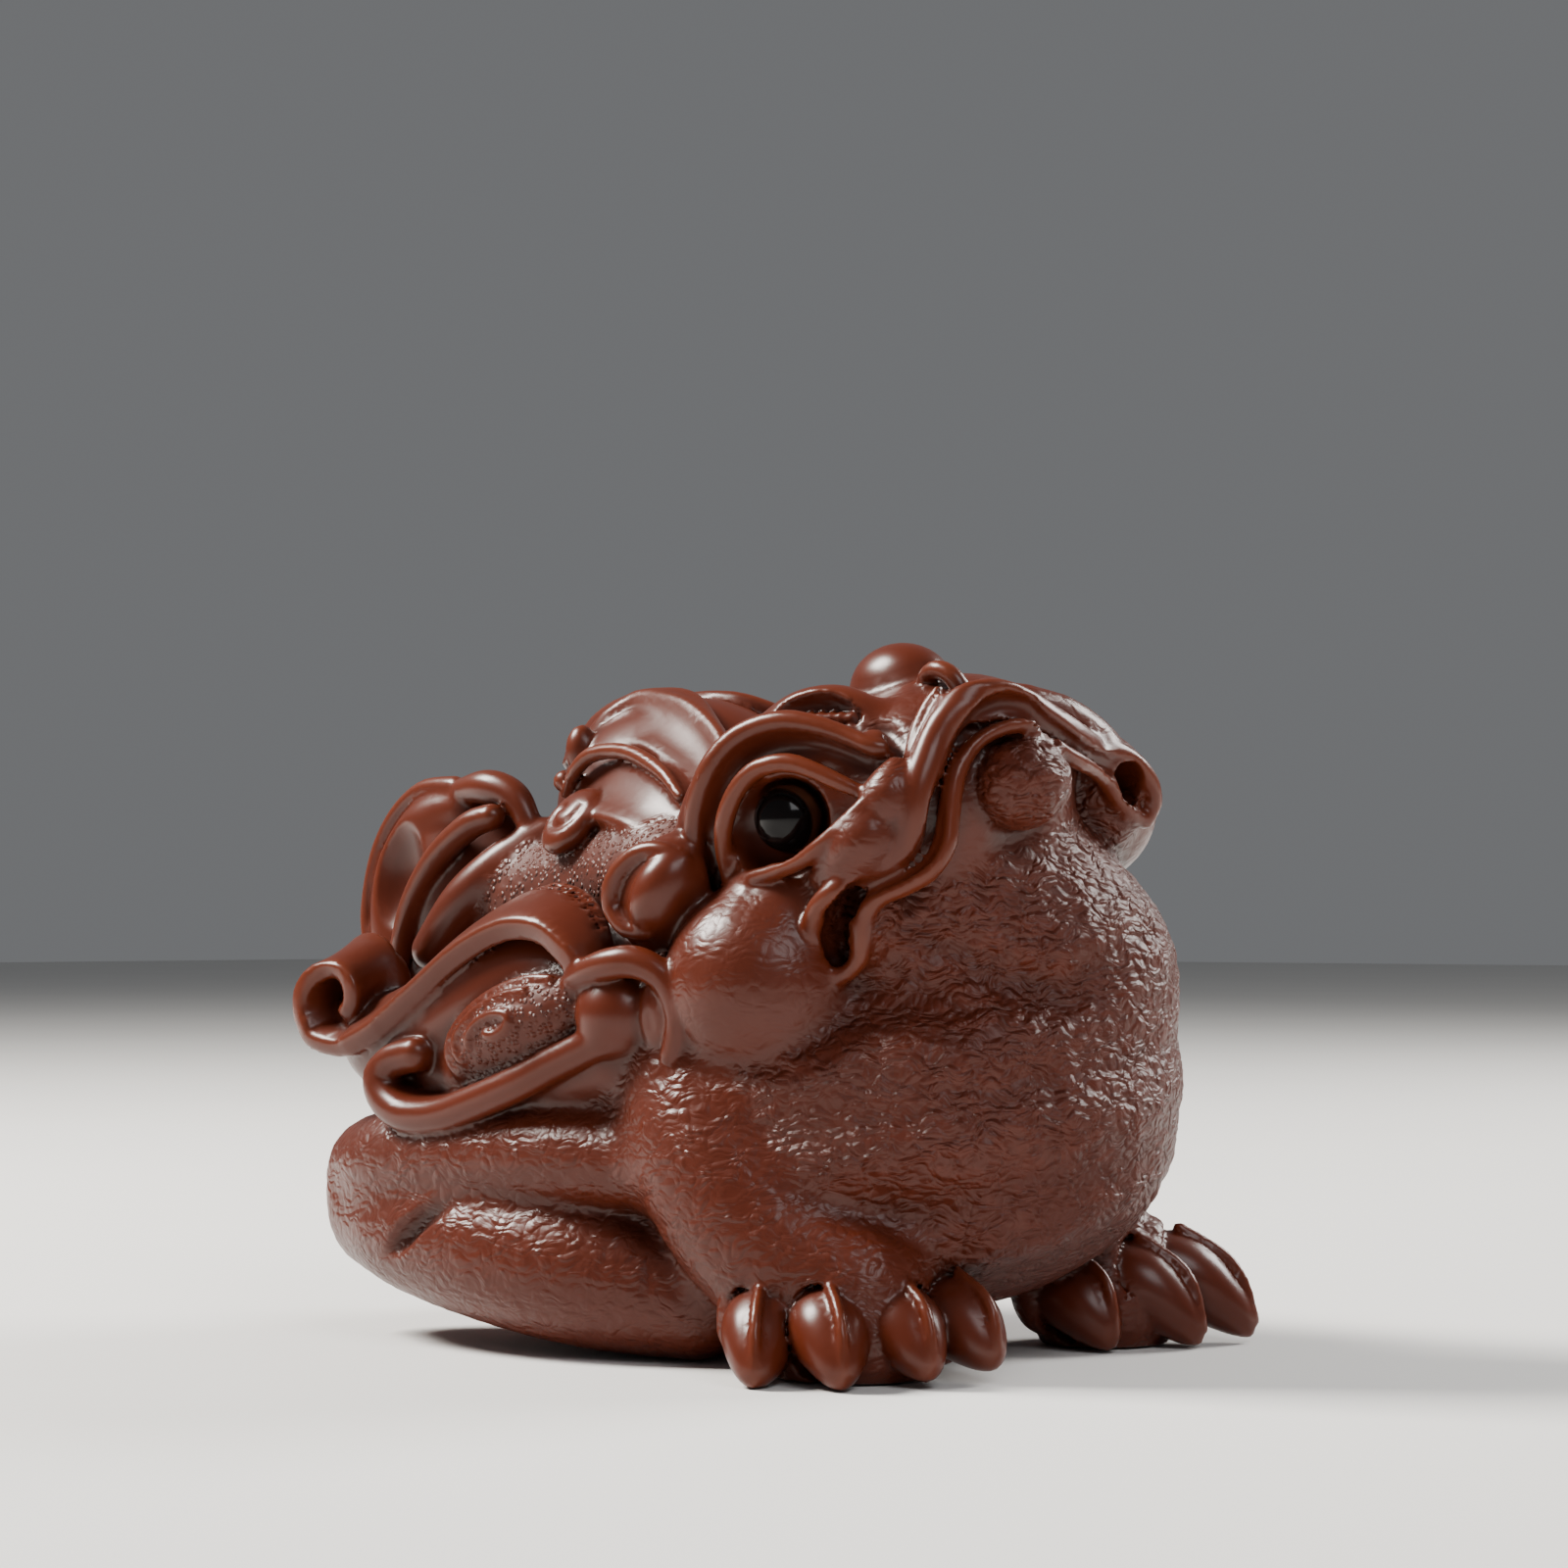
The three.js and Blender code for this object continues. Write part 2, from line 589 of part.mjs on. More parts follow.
// The small open loop beside the left nostril.
function scrollLoop() {
  const loop = scroll(HEAD.point([2.4, 0.8, 21.8]), HEAD.axes[0], HEAD.axes[2], {
    from: -50, to: 230, outer: 3, inner: 2.6, size: 1.1, endSize: 0.9,
  });
  return rope(loop);
}

function ears(clay, side) {
  const turn = (axes) => axes.map((v) => BODY.direction(v, side));
  // upper ear: a leaf rolled into a cup
  const leaf = turn([unit([0.5, 0.1, 0.86]), [0, 1, 0], unit([0.86, 0, -0.5])]);
  clay.add(ball(BODY.point([6.2, 23.6, 48.6], side), [6.6, 4, 4.8], leaf), 0.8);
  clay.add(rope(onBody([
    [6.6, 26.6, 44.4, 0.7],
    [4, 27, 44.8, 0.9],
    [1.9, 27, 46.8, 1],
    [1.9, 27, 49.2, 1.1],
    [3.2, 26.8, 51.2, 1.1],
    [5.4, 26.4, 52.6, 1.1],
    [8.2, 26, 52.8, 1],
    [10.4, 25.2, 51.8, 0.8],
  ], side)), 0.3);
  clay.add(ball(BODY.point([7.6, 25, 48.6], side), [5, 3.8, 3.2], leaf), 0.2);
  // lower ear: a hood over a dished ball, with a second fold in front of it
  clay.add(ball(BODY.point([8.4, 24, 36.4], side), [4, 4.6, 5.4]), 0.6);
  clay.add(ball(BODY.point([2.2, 26, 36], side), [4.8, 4.8, 5]), 0.5);
  clay.add(rope(onBody([
    [-4.2, 28, 38.4, 1.1],
    [0, 29.2, 40.2, 1.5],
    [4, 29.4, 41.3, 1.7],
    [7.2, 28.6, 41.4, 1.7],
    [10, 27.6, 39.6, 1.5],
    [11.4, 27.2, 35.8, 1.3],
    [10.4, 27.4, 32, 1],
  ], side)), 0.4);
  clay.cut(rope(onBody([
    [0.4, 31.4, 38, 0.4],
    [3, 31.2, 38.5, 0.9],
    [5.8, 30.4, 38.9, 0.5],
  ], side)), 0.3);
  clay.cut(rope(onBody([
    [7.8, 30, 38.4, 0.7],
    [8.4, 29.6, 36.4, 1.1],
    [8.5, 29.2, 34, 1.1],
    [7.2, 29.2, 31.6, 0.8],
  ], side)), 0.3);
}

// The run of the upper mane along the flank, from the ear back to its scroll.
const UPPER_MANE = [
  [0, 27.4, 38.6, 2.2],
  [-2, 27.2, 42.6, 3.2],
  [-6.2, 26.2, 45.8, 4.2],
  [-12, 25.4, 46.5, 4.9],
  [-19, 25, 44.1, 5.3],
  [-26, 24.8, 39.8, 5.4],
  [-32.4, 24.8, 35.8, 5.2],
  [-37.6, 24.8, 33.6, 4.8],
];
const UPPER_SCROLL_AT = [-40.4, 24.8, 38.4];
const UPPER_SCROLL = { from: 250, to: -60, outer: 4.7, inner: 2.3, size: 4.8, endSize: 3.4, steps: 14 };
const POD = { at: [-10.6, 27.2, 34.4], radii: [11, 5, 4.9] };
const LOWER_MANE = [
  [2, 28.4, 33.4, 1.8],
  [-4.1, 28.6, 31, 2.6],
  [-8.9, 28.8, 28.9, 3.2],
  [-15, 28.8, 26.8, 3.6],
  [-20.2, 28.6, 25.4, 3.8],
  [-25.6, 28.4, 25.2, 3.8],
  [-29.2, 28.2, 26.6, 3.6],
  [-30.6, 28, 28.9, 3.4],
  [-28.8, 28, 30.9, 3.2],
  [-25.4, 28.2, 31.6, 2.8],
];

function manes(clay, side) {
  // the smooth wall under the upper mane
  clay.add(rope(onBody([
    [-3, 22.6, 38.4, 5.6],
    [-12, 21.6, 39.4, 7],
    [-20, 21.6, 37.2, 7.4],
    [-29, 22, 33.2, 6.8],
    [-36, 22.2, 32.2, 5.6],
    [-40, 22.2, 34.8, 4.2],
  ], side)), 1.6);
  clay.cut(rope(onBody([
    [-4, 31.4, 41.2, 1.2],
    [-12, 31.6, 42, 2.4],
    [-20, 31.8, 39, 2.6],
    [-27, 31.8, 34.6, 2.4],
    [-33, 31.4, 30.4, 1.6],
  ], side)), 1.2);
  const width = BODY.direction([0.05, 1, -0.48], side);
  clay.add(wideBand(onBody(UPPER_MANE, side), width, { thick: 1.3, cup: 0.5, soft: 0.4 }), 0.4);
  const curl = scroll(UPPER_SCROLL_AT, BODY_AXES[0], BODY_AXES[2], UPPER_SCROLL);
  const rolled = onBody([...UPPER_MANE.slice(-2), ...curl], side);
  clay.add(wideBand(rolled, width, { thick: 1.1, cup: 0.3, soft: 0.6 }), 0.4);
  const core = BODY.point(plus(UPPER_SCROLL_AT, [0, -3.6, 0]), side);
  clay.add(ball(core, [4.6, 3, 4.6]), 0.6);
  // the pod between the two manes: rim lines along its upper edge round a spiral
  const pod = [unit([0.94, 0, 0.34]), [0, 1, 0], unit([-0.34, 0, 0.94])].map((v) => BODY.direction(v, side));
  clay.add(ball(BODY.point(POD.at, side), POD.radii, pod), 0.5);
  const lines = [
    { from: 205, to: 40, outer: 0.88, inner: 0.88, size: 0.65 },
    { from: 205, to: 50, outer: 0.66, inner: 0.66, size: 0.55 },
    { from: 190, to: -150, outer: 0.4, inner: 0.1, size: 0.6, steps: 12 },
  ];
  for (const line of lines) {
    const laid = scroll([0, 0, 0], BODY_AXES[0], BODY_AXES[2], line).map(([u, v, w, r]) => {
      const bulge = POD.radii[1] * Math.sqrt(Math.max(1 - u * u - w * w, 0.05));
      const spot = plus(times(pod[0], POD.radii[0] * u), times(pod[2], POD.radii[2] * w));
      return [...plus(BODY.point(POD.at, side), plus(spot, times(pod[1], bulge))), r];
    });
    clay.add(rope(laid), 0.3);
  }
  // lower mane: a thick tongue, hooked at its end
  clay.add(rope(onBody([
    [0, 24.4, 31.4, 4.2],
    [-12, 24.6, 29.6, 5.2],
    [-25, 23.4, 28.8, 4.6],
  ], side)), 1.4);
  const low = BODY.direction([0, 1, -0.2], side);
  clay.add(wideBand(onBody(LOWER_MANE, side), low, { thick: 1.9, cup: 0.1, soft: 0.9 }), 0.4);
}

// A band whose width always lies along one direction.
function wideBand(stations, width, { thick, cup, soft }) {
  const perSpan = 5;
  const line = smoothLine(stations, perSpan);
  const facings = line.map((_, i) => {
    const before = line[Math.max(i - 1, 0)];
    const after = line[Math.min(i + 1, line.length - 1)];
    return unit(cross(width, minus(after, before)));
  });
  const facing = (t) => facings[Math.round(t * (line.length - 1))];
  return band(stations, { facing, thick, cup, soft, perSpan });
}

// The hidden left fin is set lower and further in than the right one.
const LEFT_FIN_SHIFT = [3.5, -1, -3.5];

function tail(clay, side) {
  // a tall cupped leaf at the rear with a thick rib across it, and a ridge in front
  const fin = makeFrame(side > 0 ? LEFT_FIN_SHIFT : [0, 0, 0], BODY_AXES);
  const onFin = (stations) => stations.map(([x, y, z, r]) => [...fin.point([x, y, z], side), r]);
  clay.add(ball(fin.point([-41, 6, 48], side), [13.8, 7.5, 13.4]), 2);
  clay.add(rope(onFin([
    [-46, 9, 36, 4],
    [-49.4, 8.6, 44, 4],
    [-48.8, 8.4, 51, 4],
    [-44.6, 8.6, 56.4, 3.6],
    [-38.8, 9, 58.2, 3],
  ])), 1);
  clay.cut(ball(fin.point([-46.6, 16, 51], side), [5.6, 6, 8]), 0.6);
  clay.add(rope(onFin([
    [-50, 12, 38, 0.9],
    [-54.2, 10, 45, 1],
    [-53.5, 9.6, 52, 1],
    [-50.5, 9.4, 57.4, 1],
    [-45.6, 9.4, 60.6, 1.1],
    [-39.6, 10, 60.8, 1.3],
  ])), 0.6);
  clay.cut(rope(onFin([
    [-37.4, 16.6, 45.4, 1.6],
    [-34, 16.4, 50.6, 2],
    [-29, 15.4, 54.6, 1.8],
    [-26, 14.4, 56.4, 1.2],
  ])), 0.5);
  clay.add(rope(onFin([
    [-45.6, 13.4, 40.4, 1.3],
    [-43.2, 13.6, 47.2, 1.4],
    [-38.8, 13.8, 52.6, 1.5],
    [-33.4, 13.8, 56.2, 1.6],
    [-30, 13.6, 57.2, 1.5],
  ])), 0.4);
  clay.add(rope(onFin([
    [-38, 15, 42.4, 2.4],
    [-33, 14.6, 47.8, 2.8],
    [-28.4, 12.6, 52, 2.8],
    [-25, 10, 55, 2.2],
  ])), 1.4);
  clay.add(rope(onFin([
    [-37.6, 10.4, 60.4, 1.5],
    [-33, 11, 60.6, 2],
    [-29, 11, 59.4, 1.8],
    [-26.6, 11, 56.4, 1.4],
  ])), 0.5);
}

// A row of round warts down the middle of the rear, under the fins.
function spine(clay) {
  const [x, y, z] = TRUNK.at;
  const [length, width, height] = TRUNK.radii;
  for (let i = 0; i < 6; i++) {
    const rise = mix(10, -16, i / 5);
    const back = length * Math.sqrt(1 - (rise / height) ** 2);
    clay.add(ball([x - back, y, z + rise], mix(3, 2, i / 5)), 1);
  }
}

function napePlates(clay) {
  clay.add(ball([-13, 0, 58], [16, 12.4, 12.4]), 1.4);
  for (const side of [-1, 1]) {
    // the smooth slope of the back below the plates
    clay.add(rope(onBody([
      [-36, 8, 46, 5.5],
      [-26, 10, 48, 6],
      [-15, 11.4, 49.4, 6.4],
      [-4, 14, 50, 7.2],
      [4, 16, 49, 7.6],
    ], side)), 2);
    const facing = BODY.direction([-0.1, 0.78, 0.62], side);
    // the upper plate and its rim along the crown
    clay.add(band(onBody([
      [-30.2, 0.4, 64.4, 1.8],
      [-24.6, 3, 66.6, 3],
      [-17.4, 5.4, 67.6, 3.8],
      [-9, 8, 66.8, 4],
      [-1, 11, 63.8, 3.6],
      [4.6, 14, 60.6, 2.6],
    ], side), { facing, thick: 1.6, cup: 1.1 }), 0.5);
    clay.add(rope(onBody([
      [-24, 5.4, 64.6, 0.7],
      [-20.6, 5, 67.8, 1],
      [-17, 4, 69.8, 1.1],
      [-12.6, 4, 70.2, 1.1],
      [-8, 4.8, 69.6, 1.1],
      [-3, 7.4, 67.4, 1],
      [1.4, 10.2, 64.6, 0.8],
    ], side)), 0.6);
    // the lower plate lies over it, with a raised upper rim
    clay.add(band(onBody([
      [-22, 9, 57.4, 2],
      [-17.6, 11.6, 59, 3.4],
      [-13, 13.4, 59.4, 4.2],
      [-8, 14.8, 59.2, 4.4],
      [-2.4, 16.6, 58, 4.2],
      [3, 18.2, 55.6, 3.2],
    ], side), { facing, thick: 1.6, cup: 0.9 }), 0.8);
    clay.add(rope(onBody([
      [-20.8, 11, 59.6, 0.6],
      [-18, 12.6, 61.8, 0.8],
      [-15.4, 13, 63.5, 0.9],
      [-12.2, 13.2, 64, 0.9],
      [-8.6, 13.8, 63.7, 0.9],
      [-5, 14.8, 62.7, 0.9],
      [-0.8, 16.3, 61, 0.8],
      [3, 18, 58.6, 0.6],
    ], side)), 0.2);
  }
  clay.add(ball([-20.8, -8.6, 64.4], [1.8, 1.8, 2.9]), 0.3);
  clay.add(ball([-21.4, -10.6, 61], 1.3), 0.3);
}

// A flat raised badge on the back, with a comma-shaped groove wound into it.
function backOrnament(clay) {
  const facing = unit([-0.2, -0.75, 0.62]);
  const across = unit(cross(facing, [0.1, 0.6, 0.8]));
  const up = cross(facing, across);
  const at = [-14.4, -16.4, 56.4];
  clay.add(ball(at, [4.1, 4.4, 1.9], [across, up, facing]), 0.3);
  clay.cut(rope(scroll(plus(at, times(facing, 1.9)), across, up, {
    from: 200, to: -80, outer: 2.9, inner: 0.8, size: 0.75, endSize: 0.45,
  })), 0.2);
}

function haunch(clay, side) {
  // the shank, lifted off the ground towards the rear
  clay.add(rope(onBody([
    [-39.5, 20, 13.2, 6.8],
    [-30, 23.2, 12.2, 7.6],
    [-17, 24.2, 10.8, 8.4],
    [-5, 22.6, 8.8, 8.2],
    [6, 19, 6.4, 6.4],
  ], side)), 1.4);
  clay.add(rope(onBody([
    [-38.5, 19, 15, 8],
    [-40, 21, 18, 6],
    [-32, 24.4, 19.2, 6],
    [-20, 25.8, 20.4, 5.8],
    [-7, 25.6, 21, 5.4],
    [4, 24.4, 20.4, 4.2],
  ], side)), 2);
  clay.cut(rope(onBody([
    [-28.4, 31.6, 9.6, 0.5],
    [-25.6, 31.8, 11.4, 1.3],
    [-22, 31.8, 14, 1.4],
    [-18, 31.8, 16, 1],
    [-12, 31.8, 16.9, 1],
    [-5, 31.4, 17.8, 0.9],
    [3, 30, 18.4, 0.7],
  ], side)), 0.5);
}

function arm(clay, side) {
  if (side < 0) {
    clay.add(rope(onBody([
      [7, 18, 31, 9.4],
      [12.6, 21, 21, 9.6],
      [20, 20.6, 12.5, 9],
      [28, 18.8, 8.4, 7.8],
    ], side)), 3);
  } else {
    clay.add(rope(onBody([
      [17, 20, 28, 9],
      [24, 23.5, 16, 5.8],
      [27, 24.5, 9, 5.6],
    ], side)), 3);
  }
  // the deep gap between the haunch and the arm
  clay.cut(rope(onBody([
    [3, 30.4, 18.6, 0.8],
    [4.8, 29.8, 15.6, 1.7],
    [7.4, 29, 12.2, 2.2],
    [10.4, 28.4, 9.2, 2],
    [13.2, 28, 6.2, 1.2],
  ], side)), 0.6);
}

// One toe: a skin cuff round a broad claw that curves from its root down to its tip.
function toe(clay, root, tip, width) {
  const level = unit([tip[0] - root[0], tip[1] - root[1], 0]);
  const across = cross([0, 0, 1], level);
  const upright = [level, across, [0, 0, 1]];
  const half = width / 2;
  clay.add(ball(plus(root, times(level, -1.4)), [3.6, half + 1, 5.4], upright), 0.6);
  clay.cut(ball(plus(root, plus(times(level, 1.3), [0, 0, -0.8])), [2.7, half + 0.4, 5.2], upright), 0.3);
  const reach = minus(tip, root);
  const along = (t, lift) => plus(plus(root, times(reach, t)), [0, 0, lift]);
  clay.add(rope([
    [...along(-0.1, -0.4), half * 0.94],
    [...along(0.3, 0.8), half],
    [...along(0.62, 0.8), half * 0.8],
    [...along(0.86, 0.5), half * 0.52],
    [...tip, 0.8],
  ]), 0.2);
  const crest = (t, lift, out) => [...plus(along(t, lift), times(level, out)), 0.6];
  clay.add(rope([
    crest(0.1, 4.7, 1.2),
    crest(0.42, 4.2, 2.8),
    crest(0.7, 3.2, 2.4),
    crest(0.98, 0.9, 0.9),
  ]), 0.3);
}

function feet(clay) {
  const near = [
    [[21.8, -25.8, 5.6], [26.6, -32.4, 0.6]],
    [[28.4, -24.2, 5.8], [34.6, -28.6, 0.8]],
    [[32.6, -18.6, 6], [39.4, -21.2, 1.4]],
    [[34.4, -12.4, 6.2], [41.4, -13.8, 2]],
  ];
  const far = [
    [[26.4, 16.4, 6.4], [33.4, 16, 0.9]],
    [[30, 22.4, 7.6], [37.6, 25.8, 0.9]],
    [[31, 28, 8.4], [38.6, 34, 1.2]],
    [[26.5, 31, 6.4], [29.5, 37.6, 0.9]],
  ];
  clay.add(ball([27, -18.6, 3.6], [9.6, 9, 7]), 2);
  clay.add(ball([27, 23.6, 4.4], [8, 8.5, 8]), 2);
  for (const [root, tip] of [...near, ...far]) toe(clay, root, tip, 8);
}

function sculpt(clay) {
  bodyMass(clay);
  haunch(clay, -1);
  haunch(clay, 1);
  arm(clay, -1);
  arm(clay, 1);
  chestFolds(clay);
  napePlates(clay);
  headMass(clay);
  for (const side of [-1, 1]) {
    manes(clay, side);
    ears(clay, side);
  }
  tail(clay, -1);
  tail(clay, 1);
  spine(clay);
  backOrnament(clay);
  mouth(clay);
  eyesAndBrows(clay);
  forehead(clay);
  eyeSockets(clay);
  feet(clay);
  // the underside is flat: everything below the ground plane is pressed away
  clay.cut(ground(), 0.01);
}

function ground() {
  return {
    low: FIELD_LOW,
    high: [FIELD_HIGH[0], FIELD_HIGH[1], 1],
    distance: (x, y, z) => z,
  };
}

// From the field to facets.
// The twelve edges of a grid cell: the node each starts from and the axis it runs along.
const CELL_EDGES = [
  [0, 0, 0, 0],
  [1, 0, 0, 1],
  [0, 1, 0, 0],
  [0, 0, 0, 1],
  [0, 0, 1, 0],
  [1, 0, 1, 1],
  [0, 1, 1, 0],
  [0, 0, 1, 1],
  [0, 0, 0, 2],
  [1, 0, 0, 2],
  [1, 1, 0, 2],
  [0, 1, 0, 2],
];
const CELL_CORNERS = [
  [0, 0, 0],
  [1, 0, 0],
  [1, 1, 0],
  [0, 1, 0],
  [0, 0, 1],
  [1, 0, 1],
  [1, 1, 1],
  [0, 1, 1],
];

function surfaceOf(clay) {
  const { low, step, count, values } = clay;
  const stride = [1, count[0], count[0] * count[1]];
  const nodeAt = (i, j, k) => i + j * stride[1] + k * stride[2];
  const known = new Map();
  const points = [];
  const triangles = [];
  const corner = CELL_CORNERS.map(([a, b, c]) => nodeAt(a, b, c));
  const vertexOn = (i, j, k, edge) => {
    const [a, b, c, axis] = CELL_EDGES[edge];
    const start = nodeAt(i + a, j + b, k + c);
    const key = start * 3 + axis;
    if (known.has(key)) return known.get(key);
    const v0 = values[start];
    const v1 = values[start + stride[axis]];
    const t = Math.min(Math.max(v0 / (v0 - v1), 0.03), 0.97);
    const p = [low[0] + (i + a) * step, low[1] + (j + b) * step, low[2] + (k + c) * step];
    p[axis] += t * step;
    known.set(key, points.length);
    points.push(p);
    return points.length - 1;
  };
  for (let k = 0; k + 1 < count[2]; k++) {
    for (let j = 0; j + 1 < count[1]; j++) {
      for (let i = 0; i + 1 < count[0]; i++) {
        const node = nodeAt(i, j, k);
        let kind = 0;
        for (let c = 0; c < 8; c++) if (values[node + corner[c]] < 0) kind |= 1 << c;
        if (edgeTable[kind] === 0) continue;
        for (let m = kind * 16; triTable[m] !== -1; m += 3) {
          triangles.push([0, 2, 1].map((n) => vertexOn(i, j, k, triTable[m + n])));
        }
      }
    }
  }
  return { points, triangles };
}

// Keeps the largest connected piece, so that no crumb floats free.
function largestPiece({ points, triangles }) {
  const parent = points.map((_, i) => i);
  const rootOf = (i) => {
    while (parent[i] !== i) {
      parent[i] = parent[parent[i]];
      i = parent[i];
    }
    return i;
  };
  for (const [a, b, c] of triangles) {
    parent[rootOf(a)] = rootOf(b);
    parent[rootOf(b)] = rootOf(c);
  }
  const size = new Map();
  for (const t of triangles) size.set(rootOf(t[0]), (size.get(rootOf(t[0])) || 0) + 1);
  const biggest = [...size].sort((p, q) => q[1] - p[1])[0][0];
  return { points, triangles: triangles.filter((t) => rootOf(t[0]) === biggest) };
}

// Fewer facets: the edge whose loss changes the form least goes first.
class Heap {
  constructor() {
    this.items = [];
  }
  push(item) {
    const { items } = this;
    let i = items.push(item) - 1;
    while (i > 0) {
      const up = (i - 1) >> 1;
      if (items[up].cost <= items[i].cost) break;
      [items[up], items[i]] = [items[i], items[up]];
      i = up;
    }
  }
  pop() {
    const { items } = this;
    const top = items[0];
    const end = items.pop();
    if (items.length) {
      items[0] = end;
      let i = 0;
      for (;;) {
        const left = 2 * i + 1;
        if (left >= items.length) break;
        const right = left + 1;
        const down = right < items.length && items[right].cost < items[left].cost ? right : left;
        if (items[i].cost <= items[down].cost) break;
        [items[i], items[down]] = [items[down], items[i]];
        i = down;
      }
    }
    return top;
  }
}

// The squared distance to a plane, as the ten numbers of a symmetric form.
function planeForm([a, b, c], d, weight) {
  return [a * a, a * b, a * c, a * d, b * b, b * c, b * d, c * c, c * d, d * d].map((v) => v * weight);
}

function formAt(q, [x, y, z]) {
  return (
    q[0] * x * x + 2 * q[1] * x * y + 2 * q[2] * x * z + 2 * q[3] * x +
    q[4] * y * y + 2 * q[5] * y * z + 2 * q[6] * y +
    q[7] * z * z + 2 * q[8] * z + q[9]
  );
}

function bestPoint(q, middle) {
  const det =
    q[0] * (q[4] * q[7] - q[5] * q[5]) - q[1] * (q[1] * q[7] - q[5] * q[2]) + q[2] * (q[1] * q[5] - q[4] * q[2]);
  const scale = q[0] + q[4] + q[7];
  if (Math.abs(det) < 1e-4 * scale * scale * scale) return middle;
  const [r0, r1, r2] = [-q[3], -q[6], -q[8]];
  return [
    (r0 * (q[4] * q[7] - q[5] * q[5]) - q[1] * (r1 * q[7] - q[5] * r2) + q[2] * (r1 * q[5] - q[4] * r2)) / det,
    (q[0] * (r1 * q[7] - q[5] * r2) - r0 * (q[1] * q[7] - q[5] * q[2]) + q[2] * (q[1] * r2 - r1 * q[2])) / det,
    (q[0] * (q[4] * r2 - r1 * q[5]) - q[1] * (q[1] * r2 - r1 * q[2]) + r0 * (q[1] * q[5] - q[4] * q[2])) / det,
  ];
}

function simplify({ points, triangles }, target) {
  const at = points.map((p) => p.slice());
  const faces = triangles.map((t) => t.slice());
  const around = at.map(() => new Set());
  const form = at.map(() => new Array(10).fill(0));
  const version = at.map(() => 0);
  const normalOf = (a, b, c) => cross(minus(b, a), minus(c, a));
  faces.forEach((t, i) => {
    const n = normalOf(at[t[0]], at[t[1]], at[t[2]]);
    const area = Math.hypot(...n);
    for (const v of t) around[v].add(i);
    if (area < 1e-12) return;
    const face = times(n, 1 / area);
    const q = planeForm(face, -dot(face, at[t[0]]), area);
    for (const v of t) for (let k = 0; k < 10; k++) form[v][k] += q[k];
  });
  const neighbours = (v) => {
    const found = new Set();
    for (const i of around[v]) for (const w of faces[i]) if (w !== v) found.add(w);
    return found;
  };
  const heap = new Heap();
  const offer = (v, w) => {
    const q = form[v].map((value, k) => value + form[w][k]);
    const middle = times(plus(at[v], at[w]), 0.5);
    let place = bestPoint(q, middle);
    const length = Math.hypot(...minus(at[v], at[w]));
    if (Math.hypot(...minus(place, middle)) > 1.5 * length) place = middle;
    const cost = formAt(q, place) + 1e-5 * length * length;
    heap.push({ cost, v, w, place, seen: [version[v], version[w]] });
  };
  for (let v = 0; v < at.length; v++) for (const w of neighbours(v)) if (w > v) offer(v, w);
  const turns = (v, other, place) => {
    for (const i of around[v]) {
      const t = faces[i];
      if (t.includes(other)) continue;
      const before = normalOf(...t.map((n) => at[n]));
      const after = normalOf(...t.map((n) => (n === v ? place : at[n])));
      const size = Math.hypot(...after);
      if (dot(before, after) < 0.25 * Math.hypot(...before) * size || size < 1e-4) return true;
    }
    return false;
  };
  let left = faces.length;
  while (left > target && heap.items.length) {
    const { v, w, place, seen } = heap.pop();
    if (version[v] !== seen[0] || version[w] !== seen[1]) continue;
    const nearV = neighbours(v);
    const nearW = neighbours(w);
    if (!nearV.has(w)) continue;
    let shared = 0;
    for (const n of nearV) if (nearW.has(n)) shared++;
    if (shared !== 2) continue;
    if (turns(v, w, place) || turns(w, v, place)) continue;
    at[v] = place;
    form[v] = form[v].map((value, k) => value + form[w][k]);
    for (const i of around[w]) {
      if (faces[i].includes(v)) {
        for (const n of faces[i]) if (n !== w) around[n].delete(i);
        faces[i] = null;
        left--;
        continue;
      }
      faces[i][faces[i].indexOf(w)] = v;
      around[v].add(i);
    }
    around[w] = new Set();
    version[w] = -1;
    version[v]++;
    for (const n of neighbours(v)) offer(v, n);
  }
  return { points: at, triangles: faces.filter(Boolean) };
}

function toGeometry({ points, triangles }, shift) {
  const flat = [];
  for (const t of triangles) {
    for (const v of t) {
      const p = plus(points[v], shift);
      if (Math.abs(p[2]) < 0.1) p[2] = 0;
      flat.push(...p);
    }
  }
  const geometry = new THREE.BufferGeometry();
  geometry.setAttribute("position", new THREE.Float32BufferAttribute(flat, 3));
  return mergeVertices(geometry, 1e-4);
}

// The pieces.
function toadBody() {
  const clay = new Clay(FIELD_LOW, FIELD_HIGH, GRID_STEP);
  sculpt(clay);
  const solid = simplify(largestPiece(surfaceOf(clay)), BODY_TRIANGLES);
  const material = new THREE.MeshStandardMaterial({ color: 0x6a2c17, roughness: 0.5, metalness: 0 });
  const mesh = new THREE.Mesh(toGeometry(solid, ORIGIN_SHIFT), material);
  mesh.name = "toad_body";
  return mesh;
}

function eyeball(name, side) {
  const geometry = new THREE.SphereGeometry(EYE.radius, 20, 12);
  const material = new THREE.MeshStandardMaterial({ color: 0x0a0706, roughness: 0.08, metalness: 0 });
  geometry.deleteAttribute("normal");
  geometry.deleteAttribute("uv");
  const mesh = new THREE.Mesh(mergeVertices(geometry, 1e-4), material);
  mesh.position.set(...plus(eyeFrame(side).point(EYE.at, side), ORIGIN_SHIFT));
  mesh.name = name;
  return mesh;
}

const toad = new THREE.Group();
toad.name = "money_toad_tea_pet";
toad.add(toadBody(), eyeball("eye_right", -1), eyeball("eye_left", 1));

export default toad;
